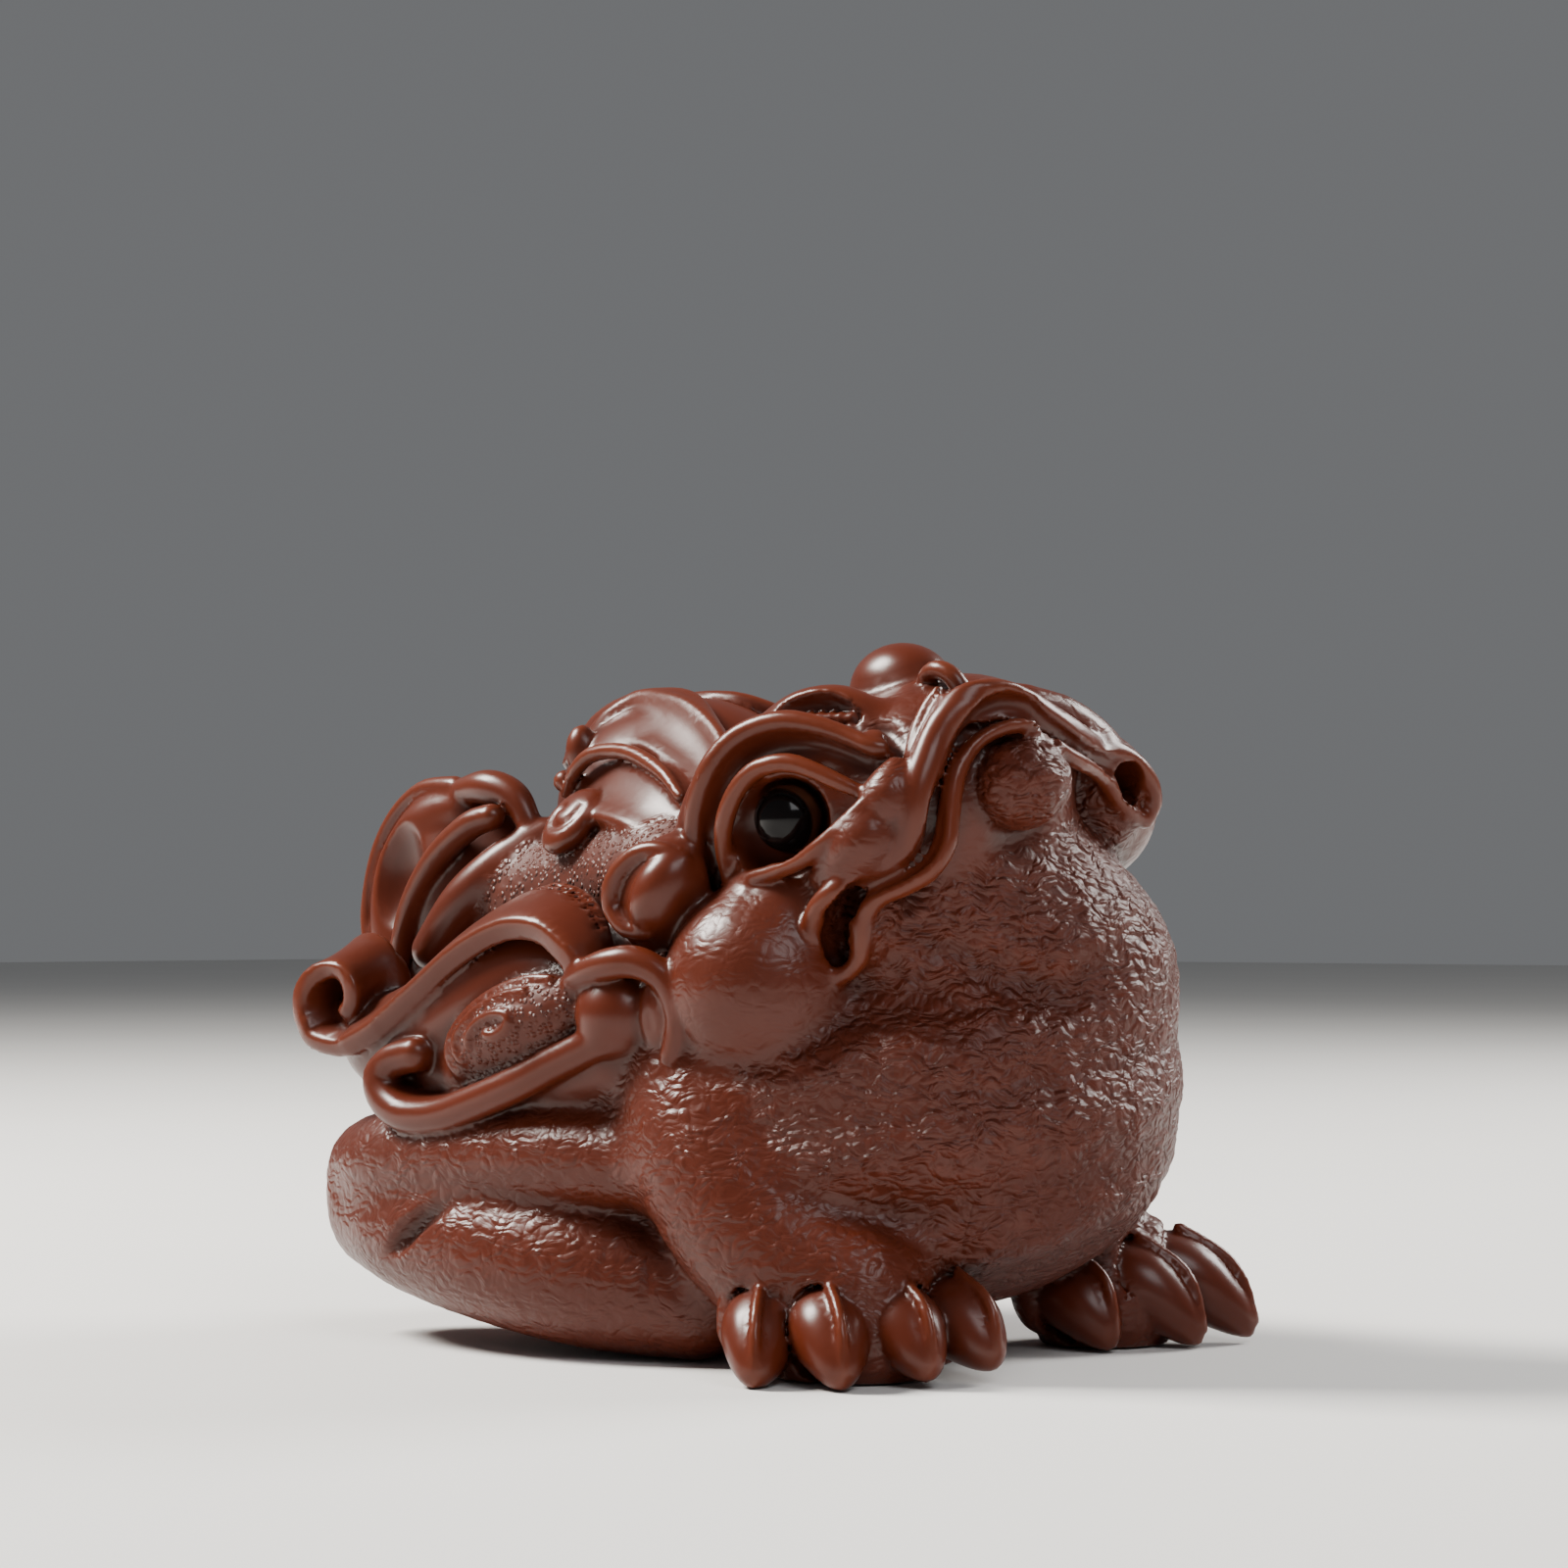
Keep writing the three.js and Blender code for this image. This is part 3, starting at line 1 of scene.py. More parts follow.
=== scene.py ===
"""Looks of the money toad tea pet: its clay with wrinkled skin, its glossy eyes, and a plain studio.

The body is built up like clay in a distance field, from the same sizes and stations as the part's
solids, on a finer grid and with the skin's relief pressed into its surface. Most stations were
measured off the photograph. Sizes are in millimetres until a mesh is made. The toad faces +X, its
right flank is at -Y, and +Z is up.
"""

import json
import math

import bpy
import numpy as np
from bpy.props import FloatProperty, FloatVectorProperty, IntProperty
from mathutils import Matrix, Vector

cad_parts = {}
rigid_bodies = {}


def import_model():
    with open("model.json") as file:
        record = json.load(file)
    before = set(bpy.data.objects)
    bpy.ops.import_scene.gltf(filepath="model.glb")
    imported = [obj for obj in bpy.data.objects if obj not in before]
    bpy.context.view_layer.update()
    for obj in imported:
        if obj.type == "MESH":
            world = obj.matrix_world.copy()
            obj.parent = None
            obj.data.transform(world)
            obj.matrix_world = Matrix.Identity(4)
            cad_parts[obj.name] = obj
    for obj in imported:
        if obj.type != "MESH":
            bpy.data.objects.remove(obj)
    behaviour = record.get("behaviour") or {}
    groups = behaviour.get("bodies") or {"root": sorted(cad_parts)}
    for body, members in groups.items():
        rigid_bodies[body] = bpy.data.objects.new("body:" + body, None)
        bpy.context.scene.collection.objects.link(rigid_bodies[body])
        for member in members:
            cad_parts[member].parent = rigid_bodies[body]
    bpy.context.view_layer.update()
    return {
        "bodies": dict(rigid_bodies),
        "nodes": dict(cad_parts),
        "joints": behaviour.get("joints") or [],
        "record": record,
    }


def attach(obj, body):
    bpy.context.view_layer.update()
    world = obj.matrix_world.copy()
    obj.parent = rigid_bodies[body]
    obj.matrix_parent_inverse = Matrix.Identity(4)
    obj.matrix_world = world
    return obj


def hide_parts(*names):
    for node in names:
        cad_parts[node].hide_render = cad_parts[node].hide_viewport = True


bl_info = {
    "name": "Money toad tea pet",
    "version": (1, 0, 0),
    "blender": (4, 5, 0),
    "location": "3D View > Sidebar > Toad",
    "description": "Builds the clay toad's fine surface, its eyes and a plain studio",
    "category": "Object",
}

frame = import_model()

MM = 0.001
SIDES = (-1, 1)  # right, then left
FIELD_LOW = [-58, -40, -1.6]
FIELD_HIGH = [56, 44, 77]
FAR = 50  # a distance that stands for well outside the clay
MARGIN = 3  # how far beyond a shape and its blend the field is still worked out
FINISH_BLEND = 0.8  # the width over which one finish turns into the next
ORIGIN_SHIFT = [3.84, -2.55, 0]  # moves the middle of the footprint onto the origin

HEAD_AT = [29.5, -0.4, 48]  # between the corners of the mouth
HEAD_YAW = 10.2  # degrees the head is turned towards its right
HEAD_ROLL = 22  # degrees the right cheek is dropped

TRUNK = dict(at=[-8, 0, 26], radii=[38, 26.5, 27])
CHEST = dict(at=[14.1, 2.9, 25], radii=[32, 28.1, 21.2])
THROAT = dict(at=[24.4, 5.2, 38.6], radii=[21.6, 20, 18.4])
NAPE = dict(at=[-11, 0, 51], radii=[18, 13.5, 16])

SKULL = dict(at=[-12, 0, 8], radii=[15, 17, 14.5])
JAW_POUCH = dict(at=[-2.8, -0.9, -1], radii=[13.7, 16.9, 13])
MUZZLE = dict(at=[-1, 0, 12], radii=[12, 15, 11.5])
CHIN_BALL = dict(at=[11, 0, 12.3], radii=[5.2, 5.3, 4.7])
CHEEK = dict(right=[-10.4, -22.4, -0.4], left=[-4.4, 19.4, 3], right_radius=10.4, left_radius=8.6)
ORBIT = dict(at=[-11, 12.5, 14.5], radii=[10.5, 8.5, 9.5])
EYE = dict(at=[-5.8, 16.5, 15.4], radius=3.6, gap=0.42)

# Finishes: how wrinkled the clay is, and how granular.
SKIN = (1, 0)
SMOOTHER = (0.36, 0)
FAINT = (0.16, 0)
POLISHED = (0, 0)
GRAINS = (1, 1)


# Vectors as plain lists of three numbers.
def plus(a, b):
    return [a[0] + b[0], a[1] + b[1], a[2] + b[2]]


def minus(a, b):
    return [a[0] - b[0], a[1] - b[1], a[2] - b[2]]


def times(a, s):
    return [a[0] * s, a[1] * s, a[2] * s]


def cross(a, b):
    return [a[1] * b[2] - a[2] * b[1], a[2] * b[0] - a[0] * b[2], a[0] * b[1] - a[1] * b[0]]


def unit(a):
    return times(a, 1 / math.hypot(*a))


def mix(a, b, t):
    return a + (b - a) * t


def radians(degrees):
    return degrees * math.pi / 180


BODY_AXES = [[1, 0, 0], [0, 1, 0], [0, 0, 1]]


class Frame:
    """Turns sizes given along its own axes into the body's millimetres; side is -1 for the right."""

    def __init__(self, origin, axes):
        self.origin = origin
        self.axes = axes

    def direction(self, v, side=1):
        front, left, up = self.axes
        return plus(plus(times(front, v[0]), times(left, side * v[1])), times(up, v[2]))

    def point(self, v, side=1):
        return plus(self.origin, self.direction(v, side))


def head_axes():
    """The head is turned to its right and rolled so that the right cheek drops."""
    yaw = radians(HEAD_YAW)
    roll = radians(HEAD_ROLL)
    front = [math.cos(yaw), -math.sin(yaw), 0]
    level = [math.sin(yaw), math.cos(yaw), 0]
    left = plus(times(level, math.cos(roll)), [0, 0, math.sin(roll)])
    return [front, left, cross(front, left)]


BODY = Frame([0, 0, 0], BODY_AXES)
HEAD = Frame(HEAD_AT, head_axes())


# Shapes: each is a list of parts, and a part has a box to look in and a distance to its surface.
def ball(at, radii, axes=BODY_AXES):
    """A ball, or an egg with a radius along each of its axes."""
    r = radii if isinstance(radii, list) else [radii, radii, radii]
    reach = max(r)

    def distance(x, y, z):
        x, y, z = x - at[0], y - at[1], z - at[2]
        along = [(x * a[0] + y * a[1] + z * a[2]) / n for a, n in zip(axes, r)]
        near = np.sqrt(along[0] ** 2 + along[1] ** 2 + along[2] ** 2)
        steep = np.sqrt(sum((v / n) ** 2 for v, n in zip(along, r)))
        return near * (near - 1) / np.maximum(steep, 1e-6)

    return [([v - reach for v in at], [v + reach for v in at], distance)]


def catmull(a, b, c, d, t):
    """The point at t between b and c on a smooth line through four stations."""
    return [
        0.5 * (2 * q + (r - p) * t + (2 * p - 5 * q + 4 * r - s) * t * t + (3 * q - p - 3 * r + s) * t ** 3)
        for p, q, r, s in zip(a, b, c, d)
    ]


def smooth_line(stations, per_span=6):
    """Points along a smooth line through the stations; each station is x, y, z and its sizes."""
    line = []
    last = len(stations) - 1
    for i in range(last):
        around = [stations[min(max(k, 0), last)] for k in (i - 1, i, i + 1, i + 2)]
        line += [catmull(*around, j / per_span) for j in range(per_span)]
    line.append(list(stations[last]))
    return line


def box_around(points, reach):
    low = [min(p[k] for p in points) - reach for k in range(3)]
    high = [max(p[k] for p in points) + reach for k in range(3)]
    return low, high


def rope(stations, per_span=6):
    """A round rope of changing radius along a smooth line: stations x, y, z, radius."""
    line = smooth_line(stations, per_span)
    return [rope_span(a, b) for a, b in zip(line, line[1:])]


def rope_span(a, b):
    edge = minus(b, a)
    length = sum(v * v for v in edge) + 1e-12

    def distance(x, y, z):
        x, y, z = x - a[0], y - a[1], z - a[2]
        t = np.clip((x * edge[0] + y * edge[1] + z * edge[2]) / length, 0, 1)
        gap = np.sqrt((x - t * edge[0]) ** 2 + (y - t * edge[1]) ** 2 + (z - t * edge[2]) ** 2)
        return gap - (a[3] + (b[3] - a[3]) * t)

    return (*box_around([a, b], max(a[3], b[3])), distance)


def band(stations, facing, thick, cup=0, soft=0.85, per_span=6):
    """A flat band along a smooth line: stations x, y, z, half width; thick is half its thickness.

    It faces the given way, or one way for each point of the line. cup sinks the middle of its
    face below its edges, and soft is how much of the thickness its edges are rounded by.
    """
    line = smooth_line(stations, per_span)
    reach = max(p[3] for p in line) + thick + cup
    parts = []
    for i, (a, b) in enumerate(zip(line, line[1:])):
        length = math.hypot(*minus(b, a))
        if length < 1e-6:
            continue
        look = facing[i] if isinstance(facing[0], list) else facing
        along = times(minus(b, a), 1 / length)
        across = unit(cross(along, look))
        span = band_span(a, b, along, across, cross(across, along), length, thick, cup, soft)
        parts.append((*box_around([a, b], reach), span))
    return parts


def band_span(a, b, along, across, out, length, thick, cup, soft):
    def distance(x, y, z):
        x, y, z = x - a[0], y - a[1], z - a[2]
        t = x * along[0] + y * along[1] + z * along[2]
        kept = np.clip(t, 0, length)
        beyond = t - kept
        half = a[3] + (b[3] - a[3]) * kept / length
        u = np.abs(x * across[0] + y * across[1] + z * across[2])
        v = x * out[0] + y * out[1] + z * out[2] + cup * (1 - np.minimum(u / half, 1) ** 2)
        rounding = np.minimum(thick, half) * soft
        qu = u - half + rounding
        qv = np.abs(v) - thick + rounding
        outer = np.sqrt(np.maximum(qu, 0) ** 2 + np.maximum(qv, 0) ** 2 + beyond ** 2)
        return outer + np.minimum(np.maximum(qu, qv), 0) - rounding

    return distance


def scroll(at, across, up, start, to, outer, inner, size, end_size=None, steps=10):
    """Stations of a scroll in the plane of two axes, winding from one angle to another."""
    stations = []
    for i in range(steps + 1):
        t = i / steps
        angle = radians(mix(start, to, t))
        r = mix(outer, inner, t)
        spot = plus(times(across, r * math.cos(angle)), times(up, r * math.sin(angle)))
        stations.append([*plus(at, spot), mix(size, size if end_size is None else end_size, t)])
    return stations


class Clay:
    """A grid of distances to the surface, below zero inside, that shapes are added to and cut from.

    Each shape also leaves its finish: how wrinkled the skin is there, and how granular.
    """

    def __init__(self, low, high, step):
        self.low = low
        self.step = step
        self.count = [math.ceil((h - v) / step) + 1 for v, h in zip(low, high)]
        self.values = np.full(self.count, FAR, dtype=np.float32)
        self.skin = np.ones(self.count, dtype=np.float32)
        self.grain = np.zeros(self.count, dtype=np.float32)
        self.finish = SKIN
        self.lines = [(v + step * np.arange(n)).astype(np.float32) for v, n in zip(low, self.count)]

    def work(self, shape, reach, change, paint=False):
        """Changes the field around a shape, and gives it the finish as well where paint is set."""
        low = [min(part[0][k] for part in shape) - reach for k in range(3)]
        high = [max(part[1][k] for part in shape) + reach for k in range(3)]
        whole = self.cells(low, high)
        if whole is None:
            return
        gaps = np.full([s.stop - s.start for s in whole], FAR, dtype=np.float32)
        for part_low, part_high, distance in shape:
            cells = self.cells([v - reach for v in part_low], [v + reach for v in part_high])
            if cells is None:
                continue
            x, y, z = (line[s] for line, s in zip(self.lines, cells))
            found = distance(x[:, None, None], y[None, :, None], z[None, None, :])
            inner = tuple(slice(s.start - w.start, s.stop - w.start) for s, w in zip(cells, whole))
            gaps[inner] = np.minimum(gaps[inner], found)
        if paint:
            share = np.clip(0.5 + (self.values[whole] - gaps) / FINISH_BLEND, 0, 1)
            for grid, value in zip((self.skin, self.grain), self.finish):
                grid[whole] += share * (value - grid[whole])
        self.values[whole] = change(self.values[whole], gaps)

    def cells(self, low, high):
        """The slices of the grid that a box covers, or None where it lies outside."""
        found = []
        for v, a, b, n in zip(self.low, low, high, self.count):
            first = max(0, math.floor((a - v) / self.step))
            stop = min(n, math.ceil((b - v) / self.step) + 1)
            if stop <= first:
                return None
            found.append(slice(first, stop))
        return tuple(found)

    def add(self, shape, blend=0.8):
        """Adds a shape, rounding the joint by the blend."""
        def joined(v, d):
            h = np.maximum(blend - np.abs(v - d), 0) / blend
            return np.minimum(v, d) - h * h * blend / 4

        self.work(shape, blend + MARGIN, joined, paint=True)

    def cut(self, shape, blend=0.6):
        """Presses a shape in, rounding the edge by the blend."""
        def pressed(v, d):
            h = np.maximum(blend - np.abs(v + d), 0) / blend
            return np.maximum(v, -d) + h * h * blend / 4

        self.work(shape, blend + MARGIN, pressed)

    def level(self, height):
        """Cuts everything below a height away, so that the underside is flat."""
        ground = (height - self.lines[2])[None, None, :]
        self.values = np.maximum(self.values, ground)


def body_mass(clay):
    """The toad, mass by mass."""
    clay.add(ball(TRUNK["at"], TRUNK["radii"]), 2)
    clay.add(ball(CHEST["at"], CHEST["radii"]), 6)
    clay.add(ball(THROAT["at"], THROAT["radii"]), 5)
    clay.add(ball(NAPE["at"], NAPE["radii"]), 8)


def on_chest(degrees, height, sunk=0):
    """A point on the chest at a height, at an angle round from straight ahead, sunk by a depth."""
    cx, cy, cz = CHEST["at"]
    rx, ry, rz = CHEST["radii"]
    rise = min((height - cz) / rz, 0.45)
    level = math.sqrt(1 - rise * rise)
    a = radians(degrees)
    return [cx + math.cos(a) * (rx * level - sunk), cy + math.sin(a) * (ry * level - sunk), height]


def chest_roll(start, to, low, high, radius, sunk, steps=8, thin=0.45):
    """One skin roll round the chest: it climbs from the right flank to the left, thin at its ends."""
    stations = []
    for i in range(steps + 1):
        t = i / steps
        swell = math.sin(math.pi * min(max(t, 0.06), 0.94))
        spot = on_chest(mix(start, to, t), mix(low, high, t), sunk)
        stations.append([*spot, radius * (thin + (1 - thin) * swell)])
    return rope(stations, 4)


def chest_folds(clay):
    rolls = [
        dict(start=-125, to=40, low=17, high=30, radius=3.8, sunk=2.4),
        dict(start=-115, to=45, low=25.5, high=38, radius=3.4, sunk=2.4),
        dict(start=-95, to=15, low=9, high=19, radius=3.8, sunk=2.6),
    ]
    for roll in rolls:
        clay.add(chest_roll(**roll), 3.6)


def head_mass(clay):
    clay.add(ball(HEAD.point(SKULL["at"]), SKULL["radii"], HEAD.axes), 5)
    clay.finish = SKIN
    clay.add(ball(HEAD.point(JAW_POUCH["at"]), JAW_POUCH["radii"], HEAD.axes), 2.2)
    # the crease between the jaw and the throat
    clay.cut(rope(on_head([
        [7.6, 13.8, 0.6, 1.4], [11.5, 10.5, -3.4, 2.2], [13.9, 7.6, -6.4, 2.5],
        [15.9, 3.6, -8, 2.5], [16.9, -3.2, -7.1, 2.5], [14.1, -12.2, -5.2, 1.8],
    ], -1)), 2)
    clay.finish = FAINT
    clay.add(ball(HEAD.point(MUZZLE["at"]), MUZZLE["radii"], HEAD.axes), 3)
    clay.finish = POLISHED
    for side in SIDES:
        clay.add(rope(on_head([[-9, 17, 5, 7.5], [-3, 16, 5, 4.4]], side)), 3)
        clay.add(ball(eye_frame(side).point(ORBIT["at"], side), ORBIT["radii"], HEAD.axes), 2.4)
    clay.finish = FAINT
    # the two swellings between the right eye and the lip, and the flat pad behind the left lip
    clay.add(rope(on_head([
        [0.4, 17.8, 9.8, 2.2], [4, 16, 12.2, 3.3], [5.3, 14.2, 14.2, 2.4],
        [6.2, 12.6, 16, 2.8], [6.4, 10.6, 18, 1.6],
    ], -1)), 0.8)
    clay.add(rope(on_head([
        [4.8, 8.8, 17.4, 2.4], [5.2, 12, 14.8, 2.8], [5, 15.3, 11, 3],
        [4.4, 17.6, 6.8, 3.1],
    ])), 1.4)
    clay.add(ball(HEAD.point(CHEEK["right"]), CHEEK["right_radius"]), 2)
    # the slack skin between the right cheek and the corner of the mouth
    clay.finish = SKIN
    clay.add(ball(HEAD.point([-6, 16.5, 4.5], -1), [6, 4.2, 6], HEAD.axes), 2)
    clay.finish = FAINT
    clay.add(ball(HEAD.point(CHEEK["left"]), CHEEK["left_radius"]), 1.2)


def in_frame(frame, stations, side=1):
    """Stations given in the head's or the body's own frame, with the sizes of each carried along."""
    return [[*frame.point(place[:3], side), *place[3:]] for place in stations]


def on_head(stations, side=1):
    return in_frame(HEAD, stations, side)


def on_body(stations, side=1):
    return in_frame(BODY, stations, side)


# The mouth in the head's frame: front, left, up and radius. Its right half runs back to a deep corner.
UPPER_LIP = [
    [9.4, -0.5, 21.2, 2.1], [9.4, 2.6, 21.6, 2], [8.9, 5, 20.9, 1.9],
    [8.6, 7.2, 19.4, 1.8], [8.7, 9.3, 17.6, 1.8], [8.8, 11.1, 15.9, 1.7],
    [8.5, 12.4, 13.6, 1.7], [7.3, 13.7, 11, 1.6], [5.2, 15.7, 9.6, 1.3],
    [3.7, 18, 9.2, 1.2], [2.3, 19.9, 8.6, 1.2], [0.3, 20.9, 7.2, 1.2],
    [-1.4, 21.2, 4.9, 1.2], [-1.9, 21.2, 2.6, 1.1], [-1.3, 21, 0.8, 1],
    [0, 20.5, -0.1, 0.9],
]

LOWER_LIP = [
    [0, 20.5, -0.1, 0.9], [1.1, 20, 0.2, 0.9], [2.4, 19.3, 1.4, 1],
    [3.1, 18.9, 3.3, 1.1], [3.6, 18.1, 5.3, 1.1], [5.2, 16.9, 6.9, 1.1],
    [7.3, 15, 7.5, 1.2], [9.1, 13.2, 8.3, 1.3], [9.9, 10.9, 10, 1.3],
    [9.9, 9.2, 12.5, 1.2], [9.9, 7.4, 15.2, 1.1], [9.9, 5.4, 17, 1],
    [10.2, 3.2, 18.1, 0.9], [11, 1, 18.5, 0.9], [12.1, -0.8, 18.3, 0.9],
    [12.9, -2.6, 16.9, 0.8],
]

MOUTH_SLIT = [
    [1.7, 19.8, 6.4, 1.4], [3.3, 18.8, 7.8, 1.1], [5.6, 17.3, 8.3, 0.8],
    [7.7, 15.5, 8.8, 0.8], [9, 13.6, 9.6, 0.9], [9.8, 12, 11.2, 1],
    [10, 10.8, 13.3, 1], [10.3, 9.5, 15.4, 0.8], [10.4, 7.4, 17.3, 0.6],
    [10.2, 5, 19, 0.9], [10.6, 2, 20.3, 1.3], [11.4, -0.8, 20.3, 1.4],
    [12.1, -3, 19.1, 1.3],
]

# The left half of the mouth ends further forward, in a tight hairpin.
UPPER_LIP_LEFT = [
    [9.4, 0.5, 21.2, 2.1], [10.4, 2.2, 20.2, 1.9], [10.3, 4.8, 18.1, 1.7],
    [9.9, 7.5, 15.7, 1.5], [9, 10.6, 12.9, 1.3], [7.9, 13.6, 10.6, 1.1],
    [7.5, 16.4, 9.6, 1.1], [7.4, 18.6, 7.5, 1.1], [7, 20, 4.8, 1.1],
    [6.5, 20.1, 2.6, 1], [6, 18.9, 1.3, 0.9],
]

LOWER_LIP_LEFT = [
    [12.9, 2.6, 16.9, 0.8], [12, 5, 14.2, 0.9], [10.9, 8.2, 11.6, 0.9],
    [9.2, 11.2, 9.8, 0.9], [7.7, 13.6, 8, 1], [7.1, 14.6, 6.3, 1],
    [6.8, 15.6, 4.4, 1], [6.4, 17.2, 2.4, 0.9], [6, 18.9, 1.3, 0.9],
]

MOUTH_SLIT_LEFT = [
    [12.1, 3, 19.1, 1.3], [12, 4.6, 17, 1.1], [11.2, 7.2, 14.6, 0.9],
    [10.2, 9.8, 12.2, 0.8], [9, 12.6, 10.1, 0.9], [8.6, 15, 8.4, 1.1],
]
MOUTH_CORNER_LEFT = dict(at=[5.6, 17, 6.2], radii=[4.4, 1.9, 2.7])

# The thin rim along the top of the upper lip.
LIP_RIM = [
    [8.4, -4.8, 22.4, 0.5], [9.6, -3, 23.1, 0.8], [10.5, -1, 22.9, 0.9],
    [11, 1.6, 21.8, 0.9], [10.8, 4.4, 19.7, 0.9], [10.2, 7.6, 17, 0.8],
    [9.4, 10.6, 14.3, 0.8], [8.2, 13.6, 11.8, 0.7],
]


def mouth(clay):
    clay.finish = SKIN
    clay.add(ball(HEAD.point([-1.4, 15.5, 4.6], -1), [6.2, 5, 7.5], HEAD.axes), 1.5)
    clay.add(ball(HEAD.point([1.5, 16.5, 5]), [6, 4.2, 6.5], HEAD.axes), 1.5)
    clay.finish = POLISHED
    clay.add(rope(on_head(UPPER_LIP, -1)), 0.6)
    clay.add(rope(on_head(UPPER_LIP_LEFT)), 0.6)
    clay.add(rope(on_head(LIP_RIM)), 0.4)
    clay.add(rope(on_head(LOWER_LIP, -1)), 0.5)
    clay.add(rope(on_head(LOWER_LIP_LEFT)), 0.5)
    for i in range(2):
        lifted = Frame(HEAD.point([0.9 * i, 0, 0.3 * i]), HEAD.axes)
        clay.cut(rope(in_frame(lifted, MOUTH_SLIT, -1)), 0.2)
        clay.cut(rope(in_frame(lifted, MOUTH_SLIT_LEFT)), 0.2)
    # the deep drop-shaped corner of the mouth
    for inward in (0, 1.6, 3.2):
        clay.cut(rope(on_head([
            [-0.6, 19.8 - inward, 1.7, 1.3],
            [0, 19.4 - inward, 4, 1.7],
            [0.9, 18.8 - inward, 5.9, 1.5],
            [2.8, 18.2 - inward, 7.5, 1],
        ], -1)), 0.3)
    clay.cut(ball(HEAD.point(MOUTH_CORNER_LEFT["at"]), MOUTH_CORNER_LEFT["radii"], HEAD.axes), 0.3)
    # the hollow under the chin
    clay.cut(ball(HEAD.point([12.8, -2, 6.8]), [3.6, 5.4, 2.5], HEAD.axes), 1.8)
    # the gap under the hood over the chin ball
    clay.cut(rope(on_head([
        [12.6, 4.6, 15.2, 0.6], [13.3, 2.4, 16.8, 1], [13.7, 0, 17.3, 1.1],
        [13.7, -2.4, 16.8, 1], [12.8, -4.6, 15.2, 0.6],
    ], -1)), 0.2)
    clay.finish = SKIN
    clay.add(ball(HEAD.point(CHIN_BALL["at"]), CHIN_BALL["radii"], HEAD.axes), 0.2)


# The brow and the lids, in each eye's own frame.
BROW = [
    [-20.8, 20.2, 8.2, 1.4], [-17.8, 20, 14.8, 2], [-14.2, 18.2, 19.6, 2.3],
    [-10.8, 15.2, 22.4, 2.3], [-6.6, 12.8, 22.8, 2.2], [-1.6, 11.4, 21.1, 2],
    [2.2, 9.9, 18.9, 1.6], [4, 7.6, 17.4, 1],
]

BROW_RIM = [
    [-17.2, 21, 7.6, 0.8], [-16, 22, 12.6, 1], [-14.6, 21.3, 17.6, 1.1],
    [-12.6, 19.8, 21.4, 1.2], [-10.8, 17.8, 23.6, 1.2], [-8.4, 15.8, 24.7, 1.2],
    [-5, 14, 24.8, 1.2], [-1.7, 12.7, 23.7, 1.1], [1.3, 11.7, 22.1, 1],
    [4, 11, 20.6, 1], [4.8, 9.4, 19.8, 0.9],
]

BROW_GROOVE = [
    [-14.6, 21.2, 8.6, 0.9], [-13.6, 21.1, 12.6, 1.2], [-12.2, 20.7, 16.4, 1.4],
    [-10.1, 19.3, 19.6, 1.5], [-8.1, 17.3, 21.6, 1.5], [-5.1, 15.5, 22.3, 1.5],
    [-1.2, 14.1, 21.5, 1.4], [2.1, 12.6, 19.5, 1.3], [5.2, 11.8, 17.8, 0.8],
]

UPPER_LID = [
    [-12.8, 21, 9.6, 0.7], [-11.7, 21.3, 13.4, 0.9], [-10.2, 21.1, 16.8, 1],
    [-8.3, 20, 19.6, 1], [-6.2, 18.8, 21.2, 1], [-4, 17.8, 21.6, 1],
    [-2, 16.9, 21.3, 1], [0.2, 16.2, 20.2, 0.9], [2.2, 15.4, 18.7, 0.9],
    [4.4, 14.4, 17, 0.7],
]

LOWER_LID = [
    [-12, 21.2, 9.4, 0.7], [-8.3, 21.4, 10.7, 0.9], [-5.1, 20.9, 11.2, 0.9],
    [-1.2, 19.9, 12.1, 0.9], [1.6, 18.8, 13.4, 0.9], [3.6, 17.2, 14.8, 0.8],
    [5.2, 15.6, 16.1, 0.7],
]

# The left eye and its brow sit lower on the tilted head than the right ones.
EYE_DROP = [-7, -2, -6.2]


def eye_frame(side):
    return Frame(HEAD.point(EYE_DROP if side > 0 else [0, 0, 0]), HEAD.axes)


def eyes_and_brows(clay):
    for side in SIDES:
        frame = eye_frame(side)
        eye = frame.point(EYE["at"], side)
        clay.add(rope(in_frame(frame, BROW, side)), 1)
        clay.add(rope(in_frame(frame, BROW_RIM, side)), 0.5)
        clay.cut(rope(in_frame(frame, BROW_GROOVE, side)), 0.3)
        # the hollow the eye lies in
        clay.cut(ball(frame.point([-4.6, 19.6, 15.3], side), [6.8, 4.6, 5], frame.axes), 0.4)
        clay.add(rope(in_frame(frame, UPPER_LID, side)), 0.5)
        clay.add(rope(in_frame(frame, LOWER_LID, side)), 0.5)
        clay.add(ball(plus(eye, frame.direction([0, -1.8, 0], side)), EYE["radius"] + 0.9), 0.5)
        clay.cut(ball(plus(eye, frame.direction([1.7, 1.6, 0.4], side)), EYE["radius"] + 0.8), 0.3)


def eye_sockets(clay):
    for side in SIDES:
        clay.cut(ball(eye_frame(side).point(EYE["at"], side), EYE["radius"] + EYE["gap"]), 0.05)


